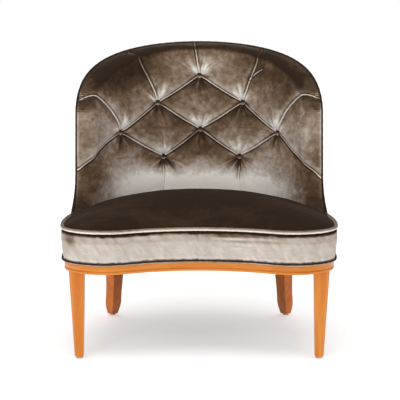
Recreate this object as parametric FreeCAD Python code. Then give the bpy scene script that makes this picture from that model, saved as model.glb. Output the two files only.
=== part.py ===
# Low barrel-back slipper chair with a deep-buttoned back, a crowned kidney-shaped seat and a
# show-wood base. Millimetres, +Z up, front of the seat towards -Y. The origin is on the floor,
# under the middle of the chair's length and width.
import FreeCAD, Part
import math
import os

from FreeCAD import Vector

# Overall plan of the seat, measured to the outer face of the boxing
seat_half_width = 350.0
lobe_x = 232.0
front_dip = 58.0
widest_behind_lobe = 185.0
seat_depth = 590.0
side_radius = 700.0

# Heights above the floor
rail_bottom_z = 218.0
rail_top_z = 240.0
welt_z = 324.0
crown_z = 388.0
back_top_z = 772.0

# Covers and fillings of the seat
cover_thickness = 2.0
soft_gap = 0.3
boxing_draw_in = 3.0
edge_pad_inset = 6.4
boxing_swell = 1.0
boxing_belly_rise = 8.0
welt_set = 1.5
welt_radius = 4.5
low_welt_radius = 3.0
deck_thickness = 1.6
crown_power = 2.3
crown_ease = 0.8
crown_centre_y = -45.0
deck_edge_in = 4.0

# Show-wood band below the boxing
band_inset = 6.0
band_depth = 18.0
band_groove_depth = 2.2
band_groove_height = 2.6
band_bead_height = 6.0
band_edge_round = 0.9

# Hidden seat frame
frame_inset = band_inset + band_depth
frame_rail_thickness = 30.0
frame_rail_top_z = 292.0
dowel_radius = 5.0

frame_bottom_z = 222.0
front_tenon_size = 18.0
front_tenon_set = 8.0
rear_tenon_size = 25.0
tenon_top_z = 286.0
tenon_pin_z = 262.0
tenon_pin_radius = 4.0
tenon_pin_length = 46.0
block_bottom_z = 228.0
block_top_z = 280.0
block_width = 96.0
block_depth = 30.0
block_flare = 1.3
block_screw_share = 0.72

# Legs
front_leg_inner_x = 285.5
front_leg_back = 48.5
front_leg_top = 39.0
front_leg_top_depth = 37.0
front_leg_foot = 22.0
front_foot_inner_x = 288.5
front_foot_back = 38.5
front_leg_bevel = 8.0
bevel_depth_ratio = 1.4
foot_round = 3.0
toe_round = 8.0
rear_leg_angle = 49.6
rear_leg_radius = 306.0
rear_leg_top = 38.0
rear_leg_foot = 28.0
rear_leg_kick_y = 100.0
rear_leg_kick_x = 15.0
glide_radius = 8.0
glide_height = 4.0
glide_nail_radius = 1.5
glide_nail_length = 16.0

# Barrel back
back_inset = 7.0
back_lean = 9.0
back_thickness = 70.0
wing_thickness = 46.0
wing_round = 0.36
wing_angle = 76.5
wing_sweep = 9.5
sweep_top_z = 440.0
arch_start_z = 590.0
top_roll = 30.0
top_share = 0.8
back_bottom_z = 322.0
back_seam_inset = 7.0
back_cover_depth = 18.0
filling_end = 60.0
filling_top = 30.0
back_frame_thickness = 22.0
back_welt_radius = 4.0
wadding_thickness = 5.0
hessian_thickness = 1.5
wing_board_width = 62.0
crest_height = 46.0
crest_drop = 26.0
lower_rail_top_z = 380.0
cut_margin = 4.0
back_post_angle = 36.0
back_post_half_angle = 4.0
back_dowel_angles = (-56.0, -28.0, 0.0, 28.0, 56.0)
back_dowel_inset = 8.0
back_dowel_length = 52.0

# Buttoning of the back: rows from the top, heights and half widths along the curve,
# and where the folds from the outer buttons meet the edge of the back
tuft_rows = ((683.0, (0.0,)), (608.0, (-123.0, 123.0)), (531.0, (-246.0, 0.0, 246.0)),
             (459.0, (-111.0, 111.0)))
tuft_depth = 15.0
top_fold_drop = 12.0
shoulder_fold_drop = 26.0
shoulder_fold_angle = 36.0
side_fold_drop = 76.0
side_fold_angle = 60.0
wing_fold_drop = 24.0
wing_fold_margin = 3.0
low_fold_rise = 28.0
groove_radius = 12.0
groove_depth = 7.0
pit_radius = 30.0
fold_reach_angle = 35.0
button_radius = 9.5
button_height = 6.0
button_rim = 2.4
pit_rise = 2.0
twine_radius = 1.4
twine_back_gap = 2.0
twine_hole_margin = 4.0

# Springs
spring_wire = 1.9
spring_pitch = 24.0
spring_width = 46.0
spring_count = 4
spring_spacing = 100.0
spring_tail = 12.0
tie_radius = 1.2
tie_shares = (0.02, 0.27)
clip_width = 26.0
clip_length = 11.0
clip_height = 5.0
clip_screw_radius = 1.8
clip_screw_length = 14.0
clip_screw_share = 0.32
clip_head_height = 1.2

# Fasteners
screw_radius = 2.5
screw_head_radius = 4.5
screw_head_height = 1.6
screw_bite = 14.0
tack_radius = 4.0
tack_height = 1.0
tack_shank_radius = 1.0
tack_length = 8.0
tack_count = 24
tack_clearance = 3.0
dust_thickness = 0.8
dust_edge_in = 2.0

parts_folder = "parts"
loft_degree = 3

# Levels of the back's sections, as shares of its swept and its straight height
sweep_shares = (0.0, 0.2, 0.5, 0.75, 1.0)
straight_shares = (0.4, 0.75)
arch_turns = (0, 15, 30, 44, 56, 66, 74, 80, 85)

# Levels of the seat crown, as shares of its outline from the edge inwards
crown_shares = (1.0, 0.985, 0.955, 0.91, 0.85, 0.77, 0.66, 0.53, 0.38, 0.22, 0.1)

# Line of the rear legs from top to foot: share of the height, share of the kick
rear_leg_line = ((1.0, 0.0), (0.8, 0.08), (0.55, 0.27), (0.3, 0.56), (0.12, 0.82), (0.05, 0.92), (0.0, 0.97))
toe_share = 0.1


# Front of the seat's lobes, placed so that the chair's length is centred on the origin
back_rise = back_top_z - welt_z
back_reach = back_rise * math.tan(math.radians(back_lean))
front_lobe_y = -(seat_depth - back_inset + back_reach) / 2


# Plan outline: four kinds of arc, each tangent to the next
class Plan:
    """Kidney outline of the seat. grow moves it outwards, share scales it about a centre."""

    def __init__(self):
        self.widest_y = front_lobe_y + widest_behind_lobe
        self.rear_y = front_lobe_y + seat_depth
        self.side = (seat_half_width - side_radius, self.widest_y)
        reach = self.rear_y - self.widest_y
        inward = side_radius - seat_half_width
        self.rear_radius = (side_radius ** 2 - inward ** 2 - reach ** 2) / (2 * (side_radius - reach))
        self.rear = (0.0, self.rear_y - self.rear_radius)
        over = lobe_x - self.side[0]
        self.lobe_radius = ((side_radius ** 2 - over ** 2 - widest_behind_lobe ** 2)
                            / (2 * (side_radius - widest_behind_lobe)))
        self.lobe = (lobe_x, front_lobe_y + self.lobe_radius)
        gap = self.lobe_radius - front_dip
        self.dip_radius = ((self.lobe_radius ** 2 - lobe_x ** 2 - gap ** 2)
                           / (2 * (gap - self.lobe_radius)))
        self.dip = (0.0, front_lobe_y + front_dip - self.dip_radius)

    def wire(self, grow, z, share=1.0, share_y=crown_centre_y):
        def at(centre, radius, angle):
            x = centre[0] + radius * math.cos(angle)
            y = centre[1] + radius * math.sin(angle)
            return Vector(x * share, share_y + (y - share_y) * share, z)

        def bearing(a, b):
            return math.atan2(b[1] - a[1], b[0] - a[0])

        dip_end = bearing(self.dip, self.lobe)
        side_start = bearing(self.side, self.lobe)
        side_end = bearing(self.side, self.rear)
        dip_r = self.dip_radius - grow
        lobe_r = self.lobe_radius + grow
        side_r = side_radius + grow
        rear_r = self.rear_radius + grow
        right = [(self.lobe, lobe_r, dip_end - math.pi, side_start),
                 (self.side, side_r, side_start, side_end),
                 (self.rear, rear_r, side_end, math.pi / 2)]
        edges = [Part.Arc(at(self.dip, dip_r, math.pi - dip_end), at(self.dip, dip_r, math.pi / 2),
                          at(self.dip, dip_r, dip_end)).toShape()]
        for centre, radius, a, b in right:
            edges.append(Part.Arc(at(centre, radius, a), at(centre, radius, (a + b) / 2),
                                  at(centre, radius, b)).toShape())
        for centre, radius, a, b in reversed(right):
            mirrored = (-centre[0], centre[1])
            edges.append(Part.Arc(at(mirrored, radius, math.pi - b),
                                  at(mirrored, radius, math.pi - (a + b) / 2),
                                  at(mirrored, radius, math.pi - a)).toShape())
        return Part.Wire(edges)

    def slab(self, grow, z0, z1):
        return Part.Face(self.wire(grow, z0)).extrude(Vector(0, 0, z1 - z0))

    def ring(self, outer, inner, z0, z1):
        return self.slab(outer, z0, z1).cut(self.slab(inner, z0, z1))


plan = Plan()
parts = {}


def save(name, shape):
    solids = [s for s in shape.Solids if s.Volume > 1.0]
    if not solids:
        raise ValueError(name + " has no solid")
    for solid in solids:
        if not solid.isValid():
            print("check", name, "volume", solid.Volume)
    kept = solids[0] if len(solids) == 1 else Part.makeCompound(solids)
    kept.exportStep(os.path.join(parts_folder, name + ".step"))
    box = kept.BoundBox
    print("%-24s %3d solids  volume %10.0f  x %5.0f to %5.0f  y %5.0f to %5.0f  z %5.1f to %5.1f" %
          (name, len(solids), sum(s.Volume for s in solids), box.XMin, box.XMax, box.YMin, box.YMax,
           box.ZMin, box.ZMax))
    parts[name] = kept
    return kept


def prism(points, z0, z1):
    corners = [Vector(x, y, z0) for x, y in points]
    return Part.Face(Part.makePolygon(corners + corners[:1])).extrude(Vector(0, 0, z1 - z0))


def rod(start, end, radius):
    return Part.makeCylinder(radius, (end - start).Length, start, end - start)


def square(centre, size, turn, z):
    """Closed square outline, turned about the vertical."""
    half = size / 2
    c, s = math.cos(turn), math.sin(turn)
    corners = []
    for a, b in ((-half, -half), (half, -half), (half, half), (-half, half)):
        corners.append(Vector(centre[0] + a * c - b * s, centre[1] + a * s + b * c, z))
    return Part.makePolygon(corners + corners[:1])


def mirrored(shape):
    return shape.mirror(Vector(0, 0, 0), Vector(1, 0, 0))


def both(shape):
    return [shape, mirrored(shape)]


# Four sectors of a ring: front, back and the two sides, split where the legs stand
front_leg = (front_leg_inner_x + front_leg_top / 2,
             front_lobe_y + front_leg_back + front_leg_top_depth / 2)
front_bearing = math.atan2(front_leg[1] - plan.lobe[1], front_leg[0] - plan.lobe[0])
rear_bearing = math.radians(rear_leg_angle)
rear_leg = (rear_leg_radius * math.sin(rear_bearing),
            plan.rear[1] + rear_leg_radius * math.cos(rear_bearing))


def sectors(ring):
    box = ring.BoundBox
    z0, z1 = box.ZMin - 1, box.ZMax + 1
    far = 4 * seat_half_width
    fx, fy = plan.lobe[0] + far * math.cos(front_bearing), plan.lobe[1] + far * math.sin(front_bearing)
    rx, ry = far * math.sin(rear_bearing), plan.rear[1] + far * math.cos(rear_bearing)
    front = prism([(-plan.lobe[0], plan.lobe[1]), (-fx, fy), (fx, fy), (plan.lobe[0], plan.lobe[1])], z0, z1)
    back = prism([(0, plan.rear[1]), (rx, ry), (-rx, ry)], z0, z1)
    sides = ring.cut(front).cut(back)
    right = [s for s in sides.Solids if s.CenterOfMass.x > 0]
    left = [s for s in sides.Solids if s.CenterOfMass.x < 0]
    return {"front": ring.common(front), "back": ring.common(back),
            "right": Part.makeCompound(right), "left": Part.makeCompound(left)}


# Legs with a tenon that stands up into the seat frame
def front_leg_outline(inner_x, front_y, width, depth, trim, z):
    """Square section whose outer front corner is planed to follow the round corner of the seat."""
    bevel = front_leg_bevel * width / front_leg_top
    x0, x1 = inner_x + trim, inner_x + width - trim
    y0, y1 = front_y + trim, front_y + depth - trim
    corners = [Vector(x0, y0, z), Vector(x1 - bevel, y0, z), Vector(x1, y0 + bevel * bevel_depth_ratio, z),
               Vector(x1, y1, z), Vector(x0, y1, z)]
    return Part.makePolygon(corners + corners[:1])


def front_leg_shape():
    foot_y = front_lobe_y + front_foot_back
    foot = (front_foot_inner_x + front_leg_foot / 2, foot_y + front_leg_foot / 2)
    low = glide_height + foot_round
    wires = [front_leg_outline(front_foot_inner_x, foot_y, front_leg_foot, front_leg_foot, foot_round / 2,
                               glide_height),
             front_leg_outline(front_foot_inner_x, foot_y, front_leg_foot, front_leg_foot, 0.0, low),
             front_leg_outline(front_leg_inner_x, front_lobe_y + front_leg_back, front_leg_top,
                               front_leg_top_depth, 0.0, rail_bottom_z)]
    leg = Part.makeLoft(wires, True, True)
    inward = (front_leg[0] - front_tenon_set * math.cos(front_bearing),
              front_leg[1] - front_tenon_set * math.sin(front_bearing))
    tenon = Part.Face(square(inward, front_tenon_size, front_bearing, rail_bottom_z))
    return leg, tenon.extrude(Vector(0, 0, tenon_top_z - rail_bottom_z)), foot


def rear_leg_shape():
    turn = math.pi / 4
    wires = []
    top = rail_bottom_z
    for share, kick in rear_leg_line:
        z = glide_height + share * (top - glide_height)
        centre = (rear_leg[0] + kick * rear_leg_kick_x, rear_leg[1] + kick * rear_leg_kick_y)
        size = rear_leg_foot + share * (rear_leg_top - rear_leg_foot)
        if share < toe_share:
            size = size - toe_round * (toe_share - share) / toe_share
        wires.append(square(centre, size, turn, z))
        foot = centre
    leg = Part.makeLoft(wires, True, False)
    tenon = Part.Face(square(rear_leg, rear_tenon_size, turn, top))
    return leg, tenon.extrude(Vector(0, 0, tenon_top_z - top)), foot


def glide_at(foot):
    disc = Part.makeCylinder(glide_radius, glide_height, Vector(foot[0], foot[1], 0))
    nail = Part.makeCylinder(glide_nail_radius, glide_nail_length, Vector(foot[0], foot[1], glide_height))
    return disc.fuse(nail)


front_solid, front_tenon, front_foot = front_leg_shape()
rear_solid, rear_tenon, rear_foot = rear_leg_shape()
glides = both(glide_at(front_foot)) + both(glide_at(rear_foot))
tenons = both(front_tenon) + both(rear_tenon)


def tenon_pin(centre, bearing, outer):
    direction = Vector(math.cos(bearing), math.sin(bearing), 0)
    end = Vector(centre[0], centre[1], tenon_pin_z) + direction * outer
    return rod(end - direction * tenon_pin_length, end, tenon_pin_radius)


front_pin = tenon_pin(plan.lobe, front_bearing, plan.lobe_radius - frame_inset - soft_gap)
rear_pin = tenon_pin(plan.rear, math.pi / 2 - rear_bearing, plan.rear_radius - frame_inset - soft_gap)
pins = both(front_pin) + both(rear_pin)

# Show-wood band: a ring with a bead-and-groove face, in four pieces
band_groove_z = rail_bottom_z + band_bead_height
band = plan.ring(-band_inset, -frame_inset, rail_bottom_z, rail_top_z)
groove = plan.ring(0, -band_inset - band_groove_depth, band_groove_z, band_groove_z + band_groove_height)
band = band.cut(groove)
edges = []
for edge in band.Edges:
    box = edge.BoundBox
    flat = abs(box.ZMax - box.ZMin) < 0.01
    level = box.ZMin
    at_lip = min(abs(level - rail_top_z), abs(level - rail_bottom_z),
                 abs(level - band_groove_z), abs(level - band_groove_z - band_groove_height)) < 0.01
    point = edge.valueAt((edge.FirstParameter + edge.LastParameter) / 2)
    on_face = plan.slab(-band_inset - 0.5, level - 1, level + 1).isInside(point, 0.001, True)
    if flat and at_lip and not on_face:
        edges.append(edge)
band = band.makeFillet(band_edge_round, edges)
band_pieces = sectors(band)
for tenon in tenons:
    for key in band_pieces:
        band_pieces[key] = band_pieces[key].cut(tenon)

# Seat frame: four shaped beech rails, glued blocks in the corners
frame_ring = plan.ring(-frame_inset, -frame_inset - frame_rail_thickness, frame_bottom_z, frame_rail_top_z)
frame_pieces = sectors(frame_ring)
inner_plan = plan.slab(-frame_inset - frame_rail_thickness, block_bottom_z, block_top_z)


def corner_block(centre, bearing, reach):
    """A block that fits the inside of the rails, with its two screws pointing outwards."""
    direction = Vector(math.cos(bearing), math.sin(bearing), 0)
    side = Vector(-direction.y, direction.x, 0)
    wall = Vector(centre[0], centre[1], 0) + direction * reach
    a, b = wall - direction * block_depth, wall + direction * block_depth
    half = side * (block_width / 2)
    corners = [a - half * block_flare, b - half, b + half, a + half * block_flare]
    block = prism([(v.x, v.y) for v in corners], block_bottom_z, block_top_z).common(inner_plan)
    screws = []
    for sign in (-1, 1):
        start = a + half * (block_screw_share * sign)
        start.z = (block_bottom_z + block_top_z) / 2
        head = rod(start - direction * screw_head_height, start, screw_head_radius)
        shank = rod(start, start + direction * (block_depth + screw_bite), screw_radius)
        screws.append(head.fuse(shank))
    return block, screws


front_reach = plan.lobe_radius - frame_inset - frame_rail_thickness
rear_reach = plan.rear_radius - frame_inset - frame_rail_thickness
front_block, front_screws = corner_block(plan.lobe, front_bearing, front_reach)
rear_block, rear_screws = corner_block(plan.rear, math.pi / 2 - rear_bearing, rear_reach)
blocks = both(front_block) + both(rear_block)
screws = []
for screw in front_screws + rear_screws:
    screws += both(screw)

# Barrel back: level sections of one outer arc, one inner arc and two rounded ends
outer_radius = plan.rear_radius - back_inset
face_centre_shift = back_thickness - wing_thickness
face_radius = outer_radius - wing_thickness
lean = math.tan(math.radians(back_lean))


def back_centre(z):
    return plan.rear[1] + (z - welt_z) * lean


def wing_end(z, end_in):
    """Half angle of the back just below the arch, in radians."""
    angle = math.radians(wing_angle) - end_in / outer_radius
    share = max(0.0, (sweep_top_z - max(z, back_bottom_z)) / (sweep_top_z - back_bottom_z))
    return angle + math.radians(wing_sweep) * share ** 3


def face_distance(angle, face_in=0.0):
    """Distance of the inner face from the axis of the back."""
    shift = face_centre_shift * math.sin(angle)
    return math.sqrt((face_radius + face_in) ** 2 - shift ** 2) - face_centre_shift * math.cos(angle)


def back_point(z, angle, distance):
    return Vector(distance * math.sin(angle), back_centre(z) + distance * math.cos(angle), z)


def back_wire(z, angle, outer_in, depth, face_in):
    outer = outer_radius - outer_in

    def inner(a):
        return outer - depth if depth else face_distance(a, face_in)

    def cap(sign):
        a, b = back_point(z, sign * angle, outer), back_point(z, sign * angle, inner(angle))
        bulge = wing_round * (a - b).Length
        along = Vector(sign * math.cos(angle), -math.sin(angle), 0)
        return a, (a + b) * 0.5 + along * bulge, b

    ra, rm, rb = cap(1)
    la, lm, lb = cap(-1)
    return Part.Wire([Part.Arc(la, back_point(z, 0, outer), ra).toShape(),
                      Part.Arc(ra, rm, rb).toShape(),
                      Part.Arc(rb, back_point(z, 0, inner(0)), lb).toShape(),
                      Part.Arc(lb, lm, la).toShape()])


def back_loft(z0, outer_in=0.0, depth=0.0, face_in=0.0, end_in=0.0, top_in=0.0):
    top = back_top_z - top_in
    heights = [back_bottom_z + (sweep_top_z - back_bottom_z) * share for share in sweep_shares]
    heights += [sweep_top_z + (arch_start_z - sweep_top_z) * share for share in straight_shares]
    heights = [z0] + [z for z in heights if z > z0 + 1]
    levels = [(z, wing_end(z, end_in)) for z in heights]
    for turn in arch_turns:
        u = math.radians(turn)
        levels.append((arch_start_z + (top - arch_start_z) * math.sin(u),
                       wing_end(arch_start_z, end_in) * math.cos(u)))
    wires = []
    for z, angle in levels:
        rise = max(0.0, (z - (top - top_roll)) / top_roll)
        lost = 1.0 - math.sqrt(max(0.0, 1.0 - rise ** 2))
        if depth:
            wires.append(back_wire(z, angle, outer_in, depth, 0.0))
        else:
            keep = back_thickness - face_in - outer_in
            wires.append(back_wire(z, angle, outer_in, 0.0, face_in + lost * keep * top_share))
    return Part.makeLoft(wires, True, False, False, loft_degree)


wadding_in = cover_thickness + soft_gap
frame_in = wadding_in + wadding_thickness + soft_gap
hessian_in = frame_in + back_frame_thickness + soft_gap
pad_in = hessian_in + hessian_thickness + soft_gap
hidden_end = back_seam_inset + soft_gap

envelope = back_loft(back_bottom_z)
seat_clear = 2 * soft_gap
clear_of_back = back_loft(frame_rail_top_z + 2, -back_inset, 0.0, -seat_clear, -seat_clear, -seat_clear)
hollow = back_loft(back_bottom_z - 5 * cut_margin, -2 * cut_margin, 0.0, back_cover_depth, back_seam_inset, back_seam_inset)
print("envelope", envelope.isValid(), "hollow", hollow.isValid())
inside_cover = envelope.cut(hollow)
outside_cover = back_loft(back_bottom_z, 0.0, cover_thickness, 0.0, hidden_end, hidden_end)
wadding = back_loft(back_bottom_z, wadding_in, wadding_thickness, 0.0, hidden_end, hidden_end)
frame_shell = back_loft(frame_rail_top_z, frame_in, back_frame_thickness, 0.0, hidden_end, crest_drop)
hessian = back_loft(back_bottom_z, hessian_in, hessian_thickness, 0.0, filling_end, filling_top)
back_pad = back_loft(back_bottom_z, pad_in, 0.0, back_cover_depth + soft_gap, filling_end, filling_top)

# Back frame: lower rail, two wing boards, crest rail and two posts, all cut from one curved shell
window_in = hidden_end + wing_board_width
window = back_loft(lower_rail_top_z, frame_in - cut_margin, back_frame_thickness + 2 * cut_margin, 0.0, window_in,
                   crest_drop + crest_height)
board_angle = wing_end(arch_start_z, window_in)
rim_frame = frame_shell.cut(window)


def angle_wedge(a0, a1, z0, z1):
    """Vertical wedge about the axis of the back, between two angles from its middle."""
    centre = plan.rear
    far = 3 * seat_half_width
    points = [centre]
    steps = 4
    for i in range(steps + 1):
        a = a0 + (a1 - a0) * i / steps
        points.append((far * math.sin(a), centre[1] + far * math.cos(a)))
    return prism(points, z0, z1)


def level_slab(z0, z1):
    far = 2 * seat_half_width
    return prism([(-far, -far), (far, -far), (far, far), (-far, far)], z0, z1)


low_z, high_z = frame_rail_top_z - 5, back_top_z + 5
rail_room = angle_wedge(-board_angle, board_angle, low_z, lower_rail_top_z)
lower_rail = rim_frame.common(rail_room)
crest = rim_frame.common(level_slab(arch_start_z, high_z))
wing_sides = rim_frame.common(level_slab(low_z, arch_start_z)).cut(rail_room)
wing_right = Part.makeCompound([s for s in wing_sides.Solids if s.CenterOfMass.x > 0])
wing_left = Part.makeCompound([s for s in wing_sides.Solids if s.CenterOfMass.x < 0])
post_half = math.radians(back_post_half_angle)
post_at = math.radians(back_post_angle)
window_fill = frame_shell.common(window)
post_right = window_fill.common(angle_wedge(post_at - post_half, post_at + post_half, low_z, high_z))
post_left = mirrored(post_right)

# Buttons pulled into the inside back, with folds that run between them and out to the edge
tufts = []
tuft_row = []
for row, (height, offsets) in enumerate(tuft_rows):
    for offset in offsets:
        tufts.append((height, offset / (face_radius - face_centre_shift + tuft_depth)))
        tuft_row.append(row)


def face_point(z, angle, rise=0.0):
    return back_point(z, angle, face_distance(angle) - rise)


def face_normal(angle):
    normal = Vector(-math.sin(angle), -math.cos(angle), lean * math.cos(angle))
    return normal.normalize()


def fold(a, b):
    """Round-bottomed channel along the inner face from one point to another."""
    rise = groove_radius - groove_depth
    start, end = face_point(a[0], a[1], rise), face_point(b[0], b[1], rise)
    middle = face_point((a[0] + b[0]) / 2, (a[1] + b[1]) / 2, rise)
    if abs(a[1] - b[1]) < 0.001:
        path = Part.Wire([Part.LineSegment(start, end).toShape()])
    else:
        path = Part.Wire([Part.Arc(start, middle, end).toShape()])
    tangent = path.Edges[0].tangentAt(path.Edges[0].FirstParameter)
    circle = Part.Wire([Part.Circle(start, tangent, groove_radius).toShape()])
    return path.makePipeShell([circle], True, True)


def pit(z, angle):
    normal = face_normal(angle)
    return Part.makeCone(pit_radius, button_radius + soft_gap, tuft_depth + pit_rise,
                         face_point(z, angle) + normal * pit_rise, -normal)


def button(z, angle):
    """Covered button: a low dome on a short rim."""
    normal = face_normal(angle)
    base = face_point(z, angle) - normal * (tuft_depth - soft_gap)
    dome_height = button_height - button_rim
    ball = (button_radius ** 2 + dome_height ** 2) / (2 * dome_height)
    rim = Part.makeCylinder(button_radius, button_rim, base, normal)
    room = Part.makeCylinder(button_radius, dome_height + 1, base + normal * button_rim, normal)
    cap = Part.makeSphere(ball, base + normal * (button_height - ball)).common(room)
    return rim.fuse(cap)


def twine(z, angle, radius, extra):
    normal = face_normal(angle)
    start = face_point(z, angle) - normal * (tuft_depth - soft_gap)
    length = outer_radius - frame_in - twine_back_gap - face_distance(angle) - tuft_depth
    return rod(start + normal * extra, start - normal * (length + extra), radius)


pairs = []
for i, upper in enumerate(tufts):
    for j, lower in enumerate(tufts):
        across = abs(upper[1] - lower[1])
        if tuft_row[j] == tuft_row[i] + 1 and across < math.radians(fold_reach_angle):
            pairs.append((upper, lower))
rim_ends = [(tufts[0], (back_top_z - top_fold_drop, 0.0))]
for sign, second, third, low in ((-1, 1, 3, 6), (1, 2, 5, 7)):
    rim_ends.append((tufts[second], (back_top_z - shoulder_fold_drop, sign * math.radians(shoulder_fold_angle))))
    rim_ends.append((tufts[third], (back_top_z - side_fold_drop, sign * math.radians(side_fold_angle))))
    wing_fold_end = (tufts[third][0] - wing_fold_drop, sign * math.radians(wing_angle - wing_fold_margin))
    rim_ends.append((tufts[third], wing_fold_end))
    rim_ends.append((tufts[low], (back_bottom_z + low_fold_rise, tufts[low][1])))
for cutter in [pit(z, a) for z, a in tufts] + [fold(a, b) for a, b in pairs + rim_ends]:
    inside_cover = inside_cover.cut(cutter)
buttons = [button(z, a) for z, a in tufts]
twines = [twine(z, a, twine_radius, 0.0) for z, a in tufts]
twine_holes = [twine(z, a, twine_radius + soft_gap, twine_hole_margin) for z, a in tufts]

# Welt along the edge of the back, up one wing, over the top and down the other
def rim_path():
    points = []
    low = welt_z + welt_radius + soft_gap + 1
    for i in range(9):
        z = low + (arch_start_z - low) * i / 9
        points.append((z, wing_end(z, 0.0)))
    for i in range(19):
        u = math.radians(90 * i / 18)
        points.append((arch_start_z + (back_top_z - arch_start_z) * math.sin(u),
                       wing_end(arch_start_z, 0.0) * math.cos(u)))
    right = [back_point(z, a, outer_radius - 1) for z, a in points]
    left = [Vector(-p.x, p.y, p.z) for p in reversed(right[:-1])]
    return right + left


def tube_loft(points, radius):
    wires = []
    for i, p in enumerate(points):
        before = points[max(i - 1, 0)]
        after = points[min(i + 1, len(points) - 1)]
        tangent = (after - before).normalize()
        out = Vector(p.x, p.y - back_centre(p.z), 0)
        side = (out - tangent * out.dot(tangent)).normalize()
        other = tangent.cross(side)

        def at(turn):
            a = math.radians(turn)
            return p + side * (radius * math.cos(a)) + other * (radius * math.sin(a))

        wires.append(Part.Wire([Part.Arc(at(t), at(t + 60), at(t + 120)).toShape() for t in (0, 120, 240)]))
    return Part.makeLoft(wires, True, False)


rim_points = rim_path()
back_welt = tube_loft(rim_points, back_welt_radius)
welt_room = tube_loft(rim_points, back_welt_radius + soft_gap)
print("back welt", back_welt.isValid(), back_welt.Volume)

# Dowels that hold the lower rail of the back on the seat frame
dowels = []
for turn in back_dowel_angles:
    a = math.radians(turn)
    r = plan.rear_radius - frame_inset - back_dowel_inset
    foot = Vector(r * math.sin(a), plan.rear[1] + r * math.cos(a), frame_rail_top_z - back_dowel_length / 2)
    dowels.append(rod(foot, foot + Vector(0, 0, back_dowel_length), dowel_radius))

# Springs, with clips on the front and back rails and two tie wires across
spring_z = frame_rail_top_z + spring_wire + soft_gap
spring_x = [spring_spacing * (i - (spring_count - 1) / 2) for i in range(spring_count)]


def plan_y(x, grow, rear):
    """Where the outline crosses x, at the front or the rear."""
    if rear:
        return plan.rear[1] + math.sqrt((plan.rear_radius + grow) ** 2 - x ** 2)
    radius = plan.dip_radius - grow
    switch = radius * plan.lobe[0] / (plan.dip_radius + plan.lobe_radius)
    if abs(x) < switch:
        return plan.dip[1] + math.sqrt(radius ** 2 - x ** 2)
    return plan.lobe[1] - math.sqrt((plan.lobe_radius + grow) ** 2 - (abs(x) - plan.lobe[0]) ** 2)


def zigzag_wire(x):
    """Straight crossings joined by half turns, with a straight tail over each rail."""
    front = plan_y(x, -frame_inset - frame_rail_thickness, False)
    rear = plan_y(abs(x) + clip_width / 2, -frame_inset - frame_rail_thickness, True)
    turn = spring_pitch / 2
    half_loops = int((rear - front - 2 * spring_pitch) / spring_pitch)
    start = (front + rear) / 2 - spring_pitch * half_loops / 2
    reach = spring_width / 2 - turn
    bend = turn / 2
    q = bend * (1 - math.sqrt(0.5))

    def p(dx, y):
        return Vector(x + dx, y, spring_z)

    edges = []
    tail = front - spring_tail
    edges.append(Part.LineSegment(p(0, tail), p(0, start - bend)).toShape())
    edges.append(Part.Arc(p(0, start - bend), p(q, start - q), p(bend, start)).toShape())
    edges.append(Part.LineSegment(p(bend, start), p(reach, start)).toShape())
    y, side = start, 1
    for i in range(half_loops):
        edges.append(Part.Arc(p(side * reach, y), p(side * (reach + turn), y + turn),
                              p(side * reach, y + spring_pitch)).toShape())
        y += spring_pitch
        if i < half_loops - 1:
            edges.append(Part.LineSegment(p(side * reach, y), p(-side * reach, y)).toShape())
            side = -side
    edges.append(Part.LineSegment(p(side * reach, y), p(side * bend, y)).toShape())
    edges.append(Part.Arc(p(side * bend, y), p(side * q, y + q), p(0, y + bend)).toShape())
    edges.append(Part.LineSegment(p(0, y + bend), p(0, rear + spring_tail)).toShape())
    return Part.Wire(edges), front - spring_tail, rear + spring_tail


springs = []
clips = []
clip_screws = []
for x in spring_x:
    path, front_end, rear_end = zigzag_wire(x)
    start = path.Edges[0].Vertexes[0].Point
    circle = Part.Wire([Part.Circle(start, Vector(0, 1, 0), spring_wire).toShape()])
    springs.append(path.makePipeShell([circle], True, False))
    for end, sign in ((front_end, 1), (rear_end, -1)):
        middle = end + sign * clip_length / 2
        low = frame_rail_top_z
        block = Part.makeBox(clip_width, clip_length, clip_height,
                             Vector(x - clip_width / 2, middle - clip_length / 2, low))
        bore = spring_wire + soft_gap
        run = 4 * clip_length
        channel = rod(Vector(x, end - run / 2, spring_z), Vector(x, end + run / 2, spring_z), bore)
        slot = Part.makeBox(2 * bore, run, spring_z - low + 1, Vector(x - bore, end - run / 2, low - 1))
        at = Vector(x + math.copysign(clip_width * clip_screw_share, x), middle, low)
        shank = rod(at - Vector(0, 0, clip_screw_length), at + Vector(0, 0, clip_height), clip_screw_radius)
        head = rod(at + Vector(0, 0, clip_height), at + Vector(0, 0, clip_height + clip_head_height), clip_screw_radius * 2)
        clips.append(block.cut(channel.fuse(slot)).cut(shank))
        clip_screws.append(shank.fuse(head))
tie_z = spring_z + spring_wire + tie_radius + 0.05
ties = []
for share in tie_shares:
    y = plan.widest_y + share * seat_depth
    reach = spring_x[-1] + spring_width / 2
    ties.append(rod(Vector(-reach, y, tie_z), Vector(reach, y, tie_z), tie_radius))

# Seat: deck cloth, edge pad, crowned pad and cover, boxing and welts
deck_z = max(tie_z + tie_radius, frame_rail_top_z + clip_height + clip_head_height) + soft_gap
deck = plan.slab(-frame_inset - deck_edge_in, deck_z, deck_z + deck_thickness)
base_z = welt_z - welt_radius - soft_gap
cover_rim = welt_radius + welt_set + 2 * soft_gap
edge_pad = plan.ring(-edge_pad_inset, -frame_inset + soft_gap, rail_top_z + soft_gap, base_z)


def dome(inset, drop, low_z):
    """Crowned form over the plan: upright at its edge and nearly flat in the middle."""
    wires = [plan.wire(-inset, low_z)]
    for share in crown_shares:
        rise = (1 - share ** crown_power) ** crown_ease
        wires.append(plan.wire(-inset, welt_z + (crown_z - drop - welt_z) * rise, share))
    return Part.makeLoft(wires, True, False)


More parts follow.
